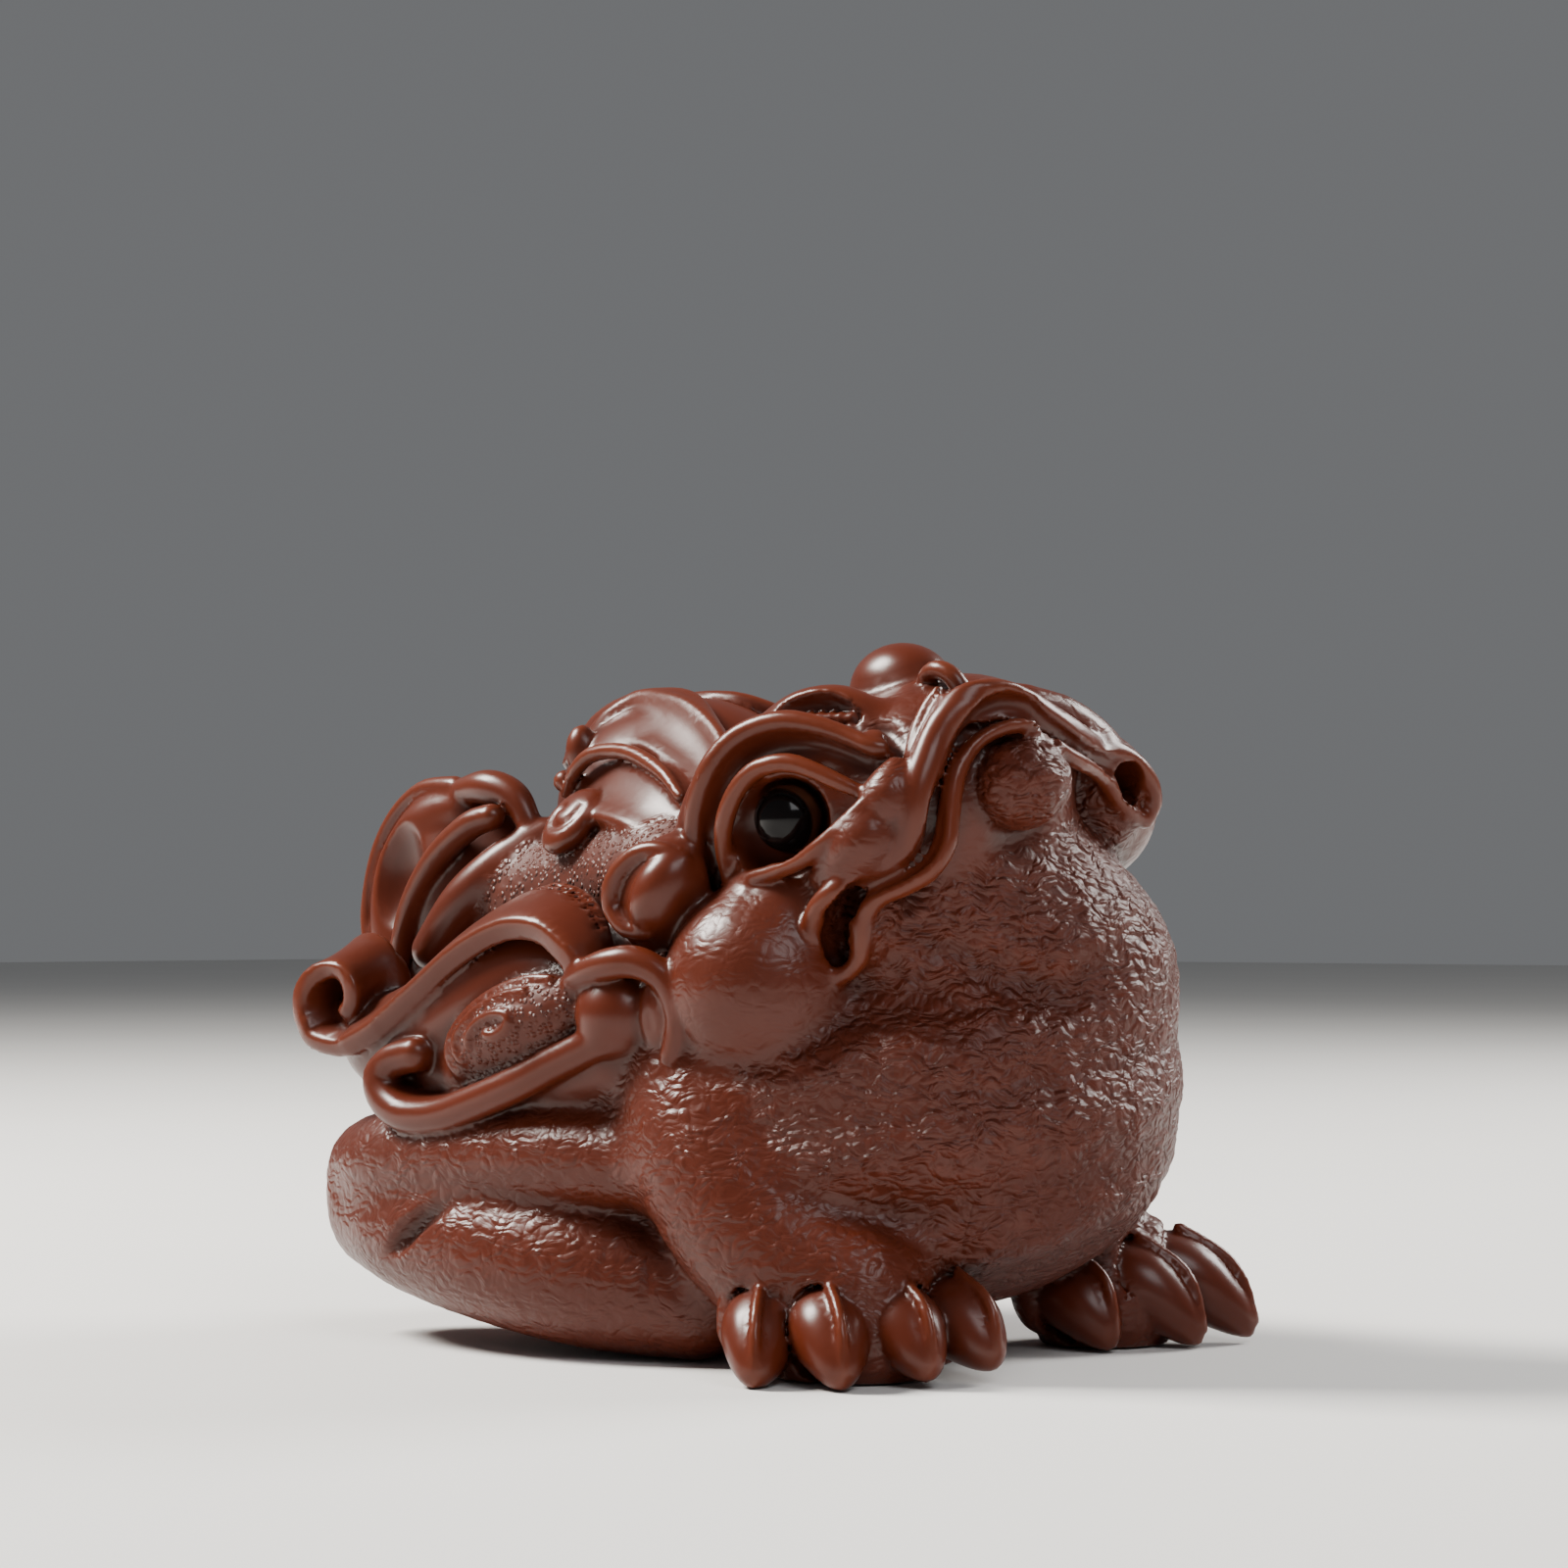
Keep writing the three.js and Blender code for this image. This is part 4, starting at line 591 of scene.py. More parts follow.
def forehead(clay):
    # the rounded brow that shows over the middle of the head
    clay.add(ball(HEAD.point([-9.6, 5.4, 21.4]), [6.4, 4.8, 4.9], HEAD.axes), 1.2)
    for side in SIDES:
        frame = eye_frame(side)
        # brow bump with a lens-shaped hollow that holds a row of beads
        clay.add(rope(in_frame(frame, [
            [-12.6, 9.4, 22, 2.8], [-8.8, 8.4, 22.8, 3.4], [-5.4, 7, 22.5, 3.5],
            [-2.2, 5.6, 21.2, 2.8],
        ], side)), 1)
        clay.cut(rope(in_frame(frame, [
            [-10, 12, 24.4, 0.7], [-7.8, 11.3, 24.9, 1.7], [-5.4, 10.1, 24.8, 2],
            [-3.4, 8.9, 24, 1.7], [-1.6, 7.8, 22.8, 0.7],
        ], side)), 0.3)
        for i in range(7):
            bead = [-8.7 + 1.05 * i, 10.4 - 0.46 * i, 23.8 - 0.2 * i]
            clay.add(ball(frame.point(bead, side), 0.8), 0.1)
        # nostril: a hooked groove round a small curl
        clay.cut(rope(in_frame(frame, [
            [-0.4, 9.8, 22, 0.7], [0.6, 8.5, 22.3, 1], [2, 7.9, 21.9, 1.2],
            [3.8, 8.3, 21, 1.2], [5.6, 9.2, 19.9, 1], [7, 10.2, 18.6, 0.6],
        ], side)), 0.3)
        clay.add(ball(frame.point([2.8, 10, 21], side), [1.7, 1.3, 1.1], HEAD.axes), 0.2)
    # two thin rims side by side behind the right half of the lip
    clay.add(rope(on_head([
        [8.2, 11.2, 16.9, 0.5], [7.8, 8.6, 19.1, 0.8], [7.4, 5.6, 21.3, 0.8],
        [8, 4, 23, 0.6],
    ], -1)), 0.3)
    clay.add(rope(on_head([
        [6.7, 9.6, 18.6, 0.5], [6.4, 7.2, 20.6, 0.8], [6.3, 4.8, 22.4, 0.8],
        [7, 3.4, 23.8, 0.5],
    ], -1)), 0.3)
    clay.add(scroll_loop(), 0.3)


def scroll_loop():
    """The small open loop beside the left nostril."""
    loop = scroll(HEAD.point([2.4, 0.8, 21.8]), HEAD.axes[0], HEAD.axes[2],
                  start=-50, to=230, outer=3, inner=2.6, size=1.1, end_size=0.9)
    return rope(loop)


def ears(clay, side):
    # upper ear: a leaf rolled into a cup
    leaf = [unit([0.5, 0.1, 0.86]), [0, 1, 0], unit([0.86, 0, -0.5])]
    leaf = [BODY.direction(v, side) for v in leaf]
    clay.add(ball(BODY.point([6.2, 23.6, 48.6], side), [6.6, 4, 4.8], leaf), 0.8)
    clay.add(rope(on_body([
        [6.6, 26.6, 44.4, 0.7], [4, 27, 44.8, 0.9], [1.9, 27, 46.8, 1],
        [1.9, 27, 49.2, 1.1], [3.2, 26.8, 51.2, 1.1], [5.4, 26.4, 52.6, 1.1],
        [8.2, 26, 52.8, 1], [10.4, 25.2, 51.8, 0.8],
    ], side)), 0.3)
    clay.add(ball(BODY.point([7.6, 25, 48.6], side), [5, 3.8, 3.2], leaf), 0.2)
    # lower ear: a hood over a dished ball, with a second fold in front of it
    clay.add(ball(BODY.point([8.4, 24, 36.4], side), [4, 4.6, 5.4]), 0.6)
    clay.add(ball(BODY.point([2.2, 26, 36], side), [4.8, 4.8, 5]), 0.5)
    clay.add(rope(on_body([
        [-4.2, 28, 38.4, 1.1], [0, 29.2, 40.2, 1.5], [4, 29.4, 41.3, 1.7],
        [7.2, 28.6, 41.4, 1.7], [10, 27.6, 39.6, 1.5], [11.4, 27.2, 35.8, 1.3],
        [10.4, 27.4, 32, 1],
    ], side)), 0.4)
    clay.cut(rope(on_body([
        [0.4, 31.4, 38, 0.4], [3, 31.2, 38.5, 0.9], [5.8, 30.4, 38.9, 0.5],
    ], side)), 0.3)
    clay.cut(rope(on_body([
        [7.8, 30, 38.4, 0.7], [8.4, 29.6, 36.4, 1.1], [8.5, 29.2, 34, 1.1],
        [7.2, 29.2, 31.6, 0.8],
    ], side)), 0.3)


# The run of the upper mane along the flank, from the ear back to its scroll.
UPPER_MANE = [
    [0, 27.4, 38.6, 2.2], [-2, 27.2, 42.6, 3.2], [-6.2, 26.2, 45.8, 4.2],
    [-12, 25.4, 46.5, 4.9], [-19, 25, 44.1, 5.3], [-26, 24.8, 39.8, 5.4],
    [-32.4, 24.8, 35.8, 5.2], [-37.6, 24.8, 33.6, 4.8],
]
MANE_WIDTH = [0.05, 1, -0.48]  # the way the mane's width lies
UPPER_SCROLL_AT = [-40.4, 24.8, 38.4]
UPPER_SCROLL = dict(start=250, to=-60, outer=4.7, inner=2.3, size=4.8, end_size=3.4, steps=14)
POD = dict(at=[-10.6, 27.2, 34.4], radii=[11, 5, 4.9])

LOWER_MANE = [
    [2, 28.4, 33.4, 1.8], [-4.1, 28.6, 31, 2.6], [-8.9, 28.8, 28.9, 3.2],
    [-15, 28.8, 26.8, 3.6], [-20.2, 28.6, 25.4, 3.8], [-25.6, 28.4, 25.2, 3.8],
    [-29.2, 28.2, 26.6, 3.6], [-30.6, 28, 28.9, 3.4], [-28.8, 28, 30.9, 3.2],
    [-25.4, 28.2, 31.6, 2.8],
]


def manes(clay, side):
    # the smooth wall under the upper mane
    clay.add(rope(on_body([
        [-3, 22.6, 38.4, 5.6], [-12, 21.6, 39.4, 7], [-20, 21.6, 37.2, 7.4],
        [-29, 22, 33.2, 6.8], [-36, 22.2, 32.2, 5.6], [-40, 22.2, 34.8, 4.2],
    ], side)), 1.6)
    clay.cut(rope(on_body([
        [-4, 31.4, 41.2, 1.2], [-12, 31.6, 42, 2.4], [-20, 31.8, 39, 2.6],
        [-27, 31.8, 34.6, 2.4], [-33, 31.4, 30.4, 1.6],
    ], side)), 1.2)
    width = BODY.direction(MANE_WIDTH, side)
    clay.add(wide_band(on_body(UPPER_MANE, side), width, thick=1.3, cup=0.5, soft=0.4), 0.4)
    curl = scroll(UPPER_SCROLL_AT, BODY_AXES[0], BODY_AXES[2], **UPPER_SCROLL)
    rolled = on_body([*UPPER_MANE[-2:], *curl], side)
    clay.add(wide_band(rolled, width, thick=1.1, cup=0.3, soft=0.6), 0.4)
    core = BODY.point(plus(UPPER_SCROLL_AT, [0, -3.6, 0]), side)
    clay.add(ball(core, [4.6, 3, 4.6]), 0.6)
    # the pod between the two manes: rim lines along its upper edge round a spiral
    pod = [unit([0.94, 0, 0.34]), [0, 1, 0], unit([-0.34, 0, 0.94])]
    pod = [BODY.direction(v, side) for v in pod]
    clay.finish = GRAINS
    clay.add(ball(BODY.point(POD["at"], side), POD["radii"], pod), 0.5)
    clay.finish = POLISHED
    lines = [
        dict(start=205, to=40, outer=0.88, inner=0.88, size=0.65),
        dict(start=205, to=50, outer=0.66, inner=0.66, size=0.55),
        dict(start=190, to=-150, outer=0.4, inner=0.1, size=0.6, steps=12),
    ]
    for line in lines:
        laid = []
        for u, v, w, size in scroll([0, 0, 0], BODY_AXES[0], BODY_AXES[2], **line):
            bulge = POD["radii"][1] * math.sqrt(max(1 - u * u - w * w, 0.05))
            spot = plus(times(pod[0], POD["radii"][0] * u), times(pod[2], POD["radii"][2] * w))
            laid.append([*plus(BODY.point(POD["at"], side), plus(spot, times(pod[1], bulge))), size])
        clay.add(rope(laid), 0.3)
    # lower mane: a thick tongue, hooked at its end
    clay.add(rope(on_body([
        [0, 24.4, 31.4, 4.2], [-12, 24.6, 29.6, 5.2], [-25, 23.4, 28.8, 4.6],
    ], side)), 1.4)
    low = BODY.direction([0, 1, -0.2], side)
    clay.add(wide_band(on_body(LOWER_MANE, side), low, thick=1.9, cup=0.1, soft=0.9), 0.4)


def wide_band(stations, width, thick, cup, soft):
    """A band whose width always lies along one direction."""
    per_span = 5
    line = smooth_line(stations, per_span)
    facings = []
    for i in range(len(line)):
        before = line[max(i - 1, 0)][:3]
        after = line[min(i + 1, len(line) - 1)][:3]
        facings.append(unit(cross(width, minus(after, before))))
    return band(stations, facings, thick, cup, soft, per_span)


# The hidden left fin is set lower and further in than the right one.
LEFT_FIN_SHIFT = [3.5, -1, -3.5]


def tail(clay, side):
    # a tall cupped leaf at the rear with a thick rib across it, and a ridge in front
    fin = Frame(LEFT_FIN_SHIFT if side > 0 else [0, 0, 0], BODY_AXES)
    clay.add(ball(fin.point([-41, 6, 48], side), [13.8, 7.5, 13.4]), 2)
    clay.add(rope(in_frame(fin, [
        [-46, 9, 36, 4], [-49.4, 8.6, 44, 4], [-48.8, 8.4, 51, 4],
        [-44.6, 8.6, 56.4, 3.6], [-38.8, 9, 58.2, 3],
    ], side)), 1)
    clay.cut(ball(fin.point([-46.6, 16, 51], side), [5.6, 6, 8]), 0.6)
    clay.add(rope(in_frame(fin, [
        [-50, 12, 38, 0.9], [-54.2, 10, 45, 1], [-53.5, 9.6, 52, 1],
        [-50.5, 9.4, 57.4, 1], [-45.6, 9.4, 60.6, 1.1], [-39.6, 10, 60.8, 1.3],
    ], side)), 0.6)
    clay.cut(rope(in_frame(fin, [
        [-37.4, 16.6, 45.4, 1.6], [-34, 16.4, 50.6, 2], [-29, 15.4, 54.6, 1.8],
        [-26, 14.4, 56.4, 1.2],
    ], side)), 0.5)
    clay.add(rope(in_frame(fin, [
        [-45.6, 13.4, 40.4, 1.3], [-43.2, 13.6, 47.2, 1.4], [-38.8, 13.8, 52.6, 1.5],
        [-33.4, 13.8, 56.2, 1.6], [-30, 13.6, 57.2, 1.5],
    ], side)), 0.4)
    clay.add(rope(in_frame(fin, [
        [-38, 15, 42.4, 2.4], [-33, 14.6, 47.8, 2.8], [-28.4, 12.6, 52, 2.8],
        [-25, 10, 55, 2.2],
    ], side)), 1.4)
    clay.add(rope(in_frame(fin, [
        [-37.6, 10.4, 60.4, 1.5], [-33, 11, 60.6, 2], [-29, 11, 59.4, 1.8],
        [-26.6, 11, 56.4, 1.4],
    ], side)), 0.5)


def spine(clay, warts=6):
    """A row of round warts down the middle of the rear, under the fins."""
    x, y, z = TRUNK["at"]
    length, _, height = TRUNK["radii"]
    for i in range(warts):
        down = i / (warts - 1)
        rise = mix(10, -16, down)
        back = length * math.sqrt(1 - (rise / height) ** 2)
        clay.add(ball([x - back, y, z + rise], mix(3, 2, down)), 1)


def nape_plates(clay):
    clay.add(ball([-13, 0, 58], [16, 12.4, 12.4]), 1.4)
    for side in SIDES:
        # the smooth slope of the back below the plates
        clay.finish = GRAINS
        clay.add(rope(on_body([
            [-36, 8, 46, 5.5], [-26, 10, 48, 6], [-15, 11.4, 49.4, 6.4],
            [-4, 14, 50, 7.2], [4, 16, 49, 7.6],
        ], side)), 2)
        clay.finish = POLISHED
        facing = BODY.direction([-0.1, 0.78, 0.62], side)
        # the upper plate and its rim along the crown
        clay.add(band(on_body([
            [-30.2, 0.4, 64.4, 1.8], [-24.6, 3, 66.6, 3], [-17.4, 5.4, 67.6, 3.8],
            [-9, 8, 66.8, 4], [-1, 11, 63.8, 3.6], [4.6, 14, 60.6, 2.6],
        ], side), facing, thick=1.6, cup=1.1), 0.5)
        clay.add(rope(on_body([
            [-24, 5.4, 64.6, 0.7], [-20.6, 5, 67.8, 1], [-17, 4, 69.8, 1.1],
            [-12.6, 4, 70.2, 1.1], [-8, 4.8, 69.6, 1.1], [-3, 7.4, 67.4, 1],
            [1.4, 10.2, 64.6, 0.8],
        ], side)), 0.6)
        # the lower plate lies over it, with a raised upper rim
        clay.add(band(on_body([
            [-22, 9, 57.4, 2], [-17.6, 11.6, 59, 3.4], [-13, 13.4, 59.4, 4.2],
            [-8, 14.8, 59.2, 4.4], [-2.4, 16.6, 58, 4.2], [3, 18.2, 55.6, 3.2],
        ], side), facing, thick=1.6, cup=0.9), 0.8)
        clay.add(rope(on_body([
            [-20.8, 11, 59.6, 0.6], [-18, 12.6, 61.8, 0.8], [-15.4, 13, 63.5, 0.9],
            [-12.2, 13.2, 64, 0.9], [-8.6, 13.8, 63.7, 0.9], [-5, 14.8, 62.7, 0.9],
            [-0.8, 16.3, 61, 0.8], [3, 18, 58.6, 0.6],
        ], side)), 0.2)
    clay.add(ball([-20.8, -8.6, 64.4], [1.8, 1.8, 2.9]), 0.3)
    clay.add(ball([-21.4, -10.6, 61], 1.3), 0.3)


def back_ornament(clay):
    """A flat raised badge on the back, with a comma-shaped groove wound into it."""
    facing = unit([-0.2, -0.75, 0.62])
    across = unit(cross(facing, [0.1, 0.6, 0.8]))
    up = cross(facing, across)
    at = [-14.4, -16.4, 56.4]
    thick = 1.9
    clay.add(ball(at, [4.1, 4.4, thick], [across, up, facing]), 0.3)
    groove = scroll(plus(at, times(facing, thick)), across, up,
                    start=200, to=-80, outer=2.9, inner=0.8, size=0.75, end_size=0.45)
    clay.cut(rope(groove), 0.2)


def haunch(clay, side):
    # the shank, lifted off the ground towards the rear
    clay.add(rope(on_body([
        [-39.5, 20, 13.2, 6.8], [-30, 23.2, 12.2, 7.6], [-17, 24.2, 10.8, 8.4],
        [-5, 22.6, 8.8, 8.2], [6, 19, 6.4, 6.4],
    ], side)), 1.4)
    clay.add(rope(on_body([
        [-38.5, 19, 15, 8], [-40, 21, 18, 6], [-32, 24.4, 19.2, 6],
        [-20, 25.8, 20.4, 5.8], [-7, 25.6, 21, 5.4], [4, 24.4, 20.4, 4.2],
    ], side)), 2)
    clay.cut(rope(on_body([
        [-28.4, 31.6, 9.6, 0.5], [-25.6, 31.8, 11.4, 1.3], [-22, 31.8, 14, 1.4],
        [-18, 31.8, 16, 1], [-12, 31.8, 16.9, 1], [-5, 31.4, 17.8, 0.9],
        [3, 30, 18.4, 0.7],
    ], side)), 0.5)


def arm(clay, side):
    if side < 0:
        clay.add(rope(on_body([
            [7, 18, 31, 9.4], [12.6, 21, 21, 9.6], [20, 20.6, 12.5, 9],
            [28, 18.8, 8.4, 7.8],
        ], side)), 3)
    else:
        clay.add(rope(on_body([
            [17, 20, 28, 9], [24, 23.5, 16, 5.8], [27, 24.5, 9, 5.6],
        ], side)), 3)
    # the deep gap between the haunch and the arm
    clay.cut(rope(on_body([
        [3, 30.4, 18.6, 0.8], [4.8, 29.8, 15.6, 1.7], [7.4, 29, 12.2, 2.2],
        [10.4, 28.4, 9.2, 2], [13.2, 28, 6.2, 1.2],
    ], side)), 0.6)


def toe(clay, root, tip, width):
    """One toe: a skin cuff round a broad claw that curves from its root down to its tip."""
    level = unit([tip[0] - root[0], tip[1] - root[1], 0])
    across = cross([0, 0, 1], level)
    upright = [level, across, [0, 0, 1]]
    half = width / 2
    clay.finish = SMOOTHER
    clay.add(ball(plus(root, times(level, -1.4)), [3.6, half + 1, 5.4], upright), 0.6)
    front = plus(root, plus(times(level, 1.3), [0, 0, -0.8]))
    clay.cut(ball(front, [2.7, half + 0.4, 5.2], upright), 0.3)
    clay.finish = POLISHED
    reach = minus(tip, root)

    def along(t, lift):
        return plus(plus(root, times(reach, t)), [0, 0, lift])

    clay.add(rope([
        [*along(-0.1, -0.4), half * 0.94],
        [*along(0.3, 0.8), half],
        [*along(0.62, 0.8), half * 0.8],
        [*along(0.86, 0.5), half * 0.52],
        [*tip, 0.8],
    ]), 0.2)

    def crest(t, lift, out):
        return [*plus(along(t, lift), times(level, out)), 0.6]

    clay.add(rope([
        crest(0.1, 4.7, 1.2),
        crest(0.42, 4.2, 2.8),
        crest(0.7, 3.2, 2.4),
        crest(0.98, 0.9, 0.9),
    ]), 0.3)


def feet(clay):
    # the root and the tip of each claw
    near = [
        [[21.8, -25.8, 5.6], [26.6, -32.4, 0.6]],
        [[28.4, -24.2, 5.8], [34.6, -28.6, 0.8]],
        [[32.6, -18.6, 6], [39.4, -21.2, 1.4]],
        [[34.4, -12.4, 6.2], [41.4, -13.8, 2]],
    ]
    far = [
        [[26.4, 16.4, 6.4], [33.4, 16, 0.9]],
        [[30, 22.4, 7.6], [37.6, 25.8, 0.9]],
        [[31, 28, 8.4], [38.6, 34, 1.2]],
        [[26.5, 31, 6.4], [29.5, 37.6, 0.9]],
    ]
    clay.finish = SMOOTHER
    clay.add(ball([27, -18.6, 3.6], [9.6, 9, 7]), 2)
    clay.add(ball([27, 23.6, 4.4], [8, 8.5, 8]), 2)
    for root, tip in [*near, *far]:
        toe(clay, root, tip, 8)


def stitches(clay, side):
    """A row of short grooves along the far edge of the upper mane."""
    line = smooth_line(UPPER_MANE[1:7])
    for before, here, after in zip(line, line[1:], line[2:]):
        face = unit(cross(MANE_WIDTH, minus(before[:3], after[:3])))
        if face[2] < 0:
            face = times(face, -1)
        edge = plus(plus(here[:3], times(MANE_WIDTH, -0.6 * here[3])), times(face, 1.1))
        tick = [[*plus(edge, times(MANE_WIDTH, reach)), 0.3] for reach in (-0.6, 0.6)]
        clay.cut(rope(on_body(tick, side)), 0.1)


def sculpt(clay):
    """All the masses and folds in the order they are laid on, each with the finish of its surface."""
    clay.finish = SKIN
    body_mass(clay)
    clay.finish = SMOOTHER
    for side in SIDES:
        haunch(clay, side)
    for side in SIDES:
        arm(clay, side)
    clay.finish = SKIN
    chest_folds(clay)
    clay.finish = POLISHED
    nape_plates(clay)
    head_mass(clay)
    clay.finish = POLISHED
    for side in SIDES:
        manes(clay, side)
        ears(clay, side)
    tail(clay, -1)
    tail(clay, 1)
    spine(clay)
    back_ornament(clay)
    mouth(clay)
    clay.finish = POLISHED
    eyes_and_brows(clay)
    forehead(clay)
    eye_sockets(clay)
    feet(clay)
    for side in SIDES:
        stitches(clay, side)
    # the underside is flat
    clay.level(0)


# From the field to a mesh.
def surface_of(clay):
    """The zero surface: a point in each cell that it crosses, and four sides on each crossed edge."""
    values = clay.values
    inside = values < 0
    corners = np.zeros([n - 1 for n in values.shape], dtype=np.int8)
    for offset in np.ndindex(2, 2, 2):
        corners += inside[tuple(slice(o, n - 1 + o) for o, n in zip(offset, values.shape))]
    cells = np.array(np.nonzero((corners > 0) & (corners < 8)))
    total = np.zeros(cells.shape)
    hits = np.zeros(cells.shape[1])
    for axis in range(3):
        for offset in np.ndindex(2, 2):
            start = cells + np.insert(np.array(offset), axis, 0)[:, None]
            end = start + np.eye(3, dtype=int)[axis][:, None]
            v0 = values[tuple(start)].astype(float)
            v1 = values[tuple(end)].astype(float)
            crossed = (v0 < 0) != (v1 < 0)
            t = np.where(crossed, v0 / np.where(crossed, v0 - v1, 1), 0)
            spot = start + t * np.eye(3)[axis][:, None]
            total += spot * crossed
            hits += crossed
    points = (total / hits).T
    number = np.full(corners.shape, -1, dtype=np.int32)
    number[tuple(cells)] = np.arange(cells.shape[1])
    faces = []
    for axis in range(3):
        low = inside[tuple(slice(0, n - (k == axis)) for k, n in enumerate(values.shape))]
        high = inside[tuple(slice(1 if k == axis else 0, n) for k, n in enumerate(values.shape))]
        edges = np.array(np.nonzero(low != high))
        side_a = np.eye(3, dtype=int)[(axis + 1) % 3][:, None]
        side_b = np.eye(3, dtype=int)[(axis + 2) % 3][:, None]
        corner = ((1, 1), (0, 1), (0, 0), (1, 0))
        ring = np.array([number[tuple(edges - a * side_a - b * side_b)] for a, b in corner]).T
        outward = low[tuple(edges)]
        ring[~outward] = ring[~outward][:, ::-1]
        faces.append(ring)
    return points * clay.step + np.array(clay.low), np.concatenate(faces)


def sample(grid, clay, points):
    """The value of a grid at each point, weighed between its eight neighbours."""
    spot = (points - np.array(clay.low)) / clay.step
    first = np.clip(np.floor(spot).astype(int), 0, np.array(grid.shape) - 2)
    share = spot - first
    found = np.zeros(len(points))
    for offset in np.ndindex(2, 2, 2):
        weight = np.prod(np.where(np.array(offset) == 1, share, 1 - share), axis=1)
        found += weight * grid[tuple((first + np.array(offset)).T)]
    return found


def slopes(clay, points):
    """The unit direction away from the clay at each point."""
    reach = 0.8 * clay.step
    found = []
    for axis in range(3):
        shift = np.zeros(3)
        shift[axis] = reach
        ahead, behind = (sample(clay.values, clay, spot) for spot in (points + shift, points - shift))
        found.append(ahead - behind)
    found = np.array(found).T
    return found / np.maximum(np.linalg.norm(found, axis=1), 1e-9)[:, None]


def smeared(grid, cells=4, limit=4):
    """A grid averaged over a cube that reaches some cells to each side, with its values kept in a limit."""
    out = np.clip(grid, -limit, limit)
    wide = 2 * cells + 1
    for axis in range(3):
        first = np.repeat(out.take([0], axis), cells + 1, axis)
        last = np.repeat(out.take([-1], axis), cells, axis)
        sums = np.cumsum(np.concatenate([first, out, last], axis), axis=axis, dtype=np.float64)
        n = out.shape[axis]
        total = sums.take(range(wide, wide + n), axis) - sums.take(range(n), axis)
        out = (total / wide).astype(np.float32)
    return out


# Relief of the skin, worked out at the surface's points.
HASH_STEPS = (374761393, 668265263, 2147483647)
HASH_STIR = 1274126177
BEND = dict(size=6.5, seeds=(1, 2, 3))
RIPPLE = dict(size=2.6, seeds=(7, 8, 9))
CREASE_SIZE = np.array([4.2, 4.2, 1.7])  # creases and folds are longer than they are high
FOLD_SIZE = np.array([2.5, 2.5, 1.35])
GRANULE_SPACING = 1.5
SWELL = dict(size=5.0, depth=0.1)


def lattice(cell, seed):
    """A repeatable number from 0 to 1 for each whole-numbered cell."""
    mixed = sum(cell[:, k] * step for k, step in enumerate(HASH_STEPS)) + seed * HASH_STIR
    mixed = (mixed ^ (mixed >> 13)) * HASH_STIR
    mixed = mixed ^ (mixed >> 16)
    return (mixed & 0xFFFF) / 0xFFFF


def drift(points, seed):
    """Smooth noise from 0 to 1 that changes over about one unit."""
    first = np.floor(points).astype(np.int64)
    share = points - first
    share = share * share * (3 - 2 * share)
    found = np.zeros(len(points))
    for offset in np.ndindex(2, 2, 2):
        weight = np.prod(np.where(np.array(offset) == 1, share, 1 - share), axis=1)
        found += weight * lattice(first + np.array(offset), seed)
    return found


def wander(points, size, seeds):
    """A smooth offset along each axis, from -0.5 to 0.5, that changes over the given size."""
    return np.array([drift(points / size, seed) for seed in seeds]).T - 0.5


def pebbles(points, seed):
    """The distance from each point to the nearest scattered centre, about one to a cell."""
    first = np.floor(points).astype(np.int64)
    nearest = np.full(len(points), 9.0)
    for offset in np.ndindex(3, 3, 3):
        cell = first + np.array(offset) - 1
        centre = cell + np.array([lattice(cell, seed + k) for k in (11, 23, 37)]).T
        nearest = np.minimum(nearest, np.linalg.norm(points - centre, axis=1))
    return nearest


def wrinkles(points):
    """Short, mostly level folds with narrow creases between them; 0 in a crease and 1 on a fold."""
    warped = points + 3.2 * wander(points, **BEND) + 1.4 * wander(points, **RIPPLE)
    crease = np.exp(-((drift(warped / CREASE_SIZE, 5) - 0.5) / 0.14) ** 2)
    domed = 1 - smooth_step(0.15, 0.75, pebbles(warped / FOLD_SIZE, 6))
    return np.clip(0.35 + 0.65 * domed - 0.35 * crease, 0, 1)


def smooth_step(low, high, v):
    t = np.clip((v - low) / (high - low), 0, 1)
    return t * t * (3 - 2 * t)


def pressed_skin(clay, points, sizes):
    """Moves the surface's points to carve wrinkles and granules; returns them and their marks."""
    out = slopes(clay, points)
    skin = np.clip(sample(clay.skin, clay, points), 0, 1)
    grain = np.clip(sample(clay.grain, clay, points), 0, 1)
    # how far each point lies in a hollow or on a ridge; the clay's colour paints shade in hollows and a
    # highlight on ridges from it
    hollow = sample(smeared(clay.values), clay, points)
    fold = wrinkles(points)
    bead = 1 - smooth_step(0.2, 0.52, pebbles(points / GRANULE_SPACING, 7))
    height = -sizes.wrinkle_depth * (1 - fold) * skin * (1 - grain)
    height += sizes.granule_height * (bead - 0.4) * grain
    height += SWELL["depth"] * (drift(points / SWELL["size"], 9) - 0.5) * skin
    # the underside stays flat
    height *= smooth_step(0.0, 1.2, points[:, 2])
    return points + out * height[:, None], dict(skin=skin, grain=grain, hollow=hollow, fold=fold)


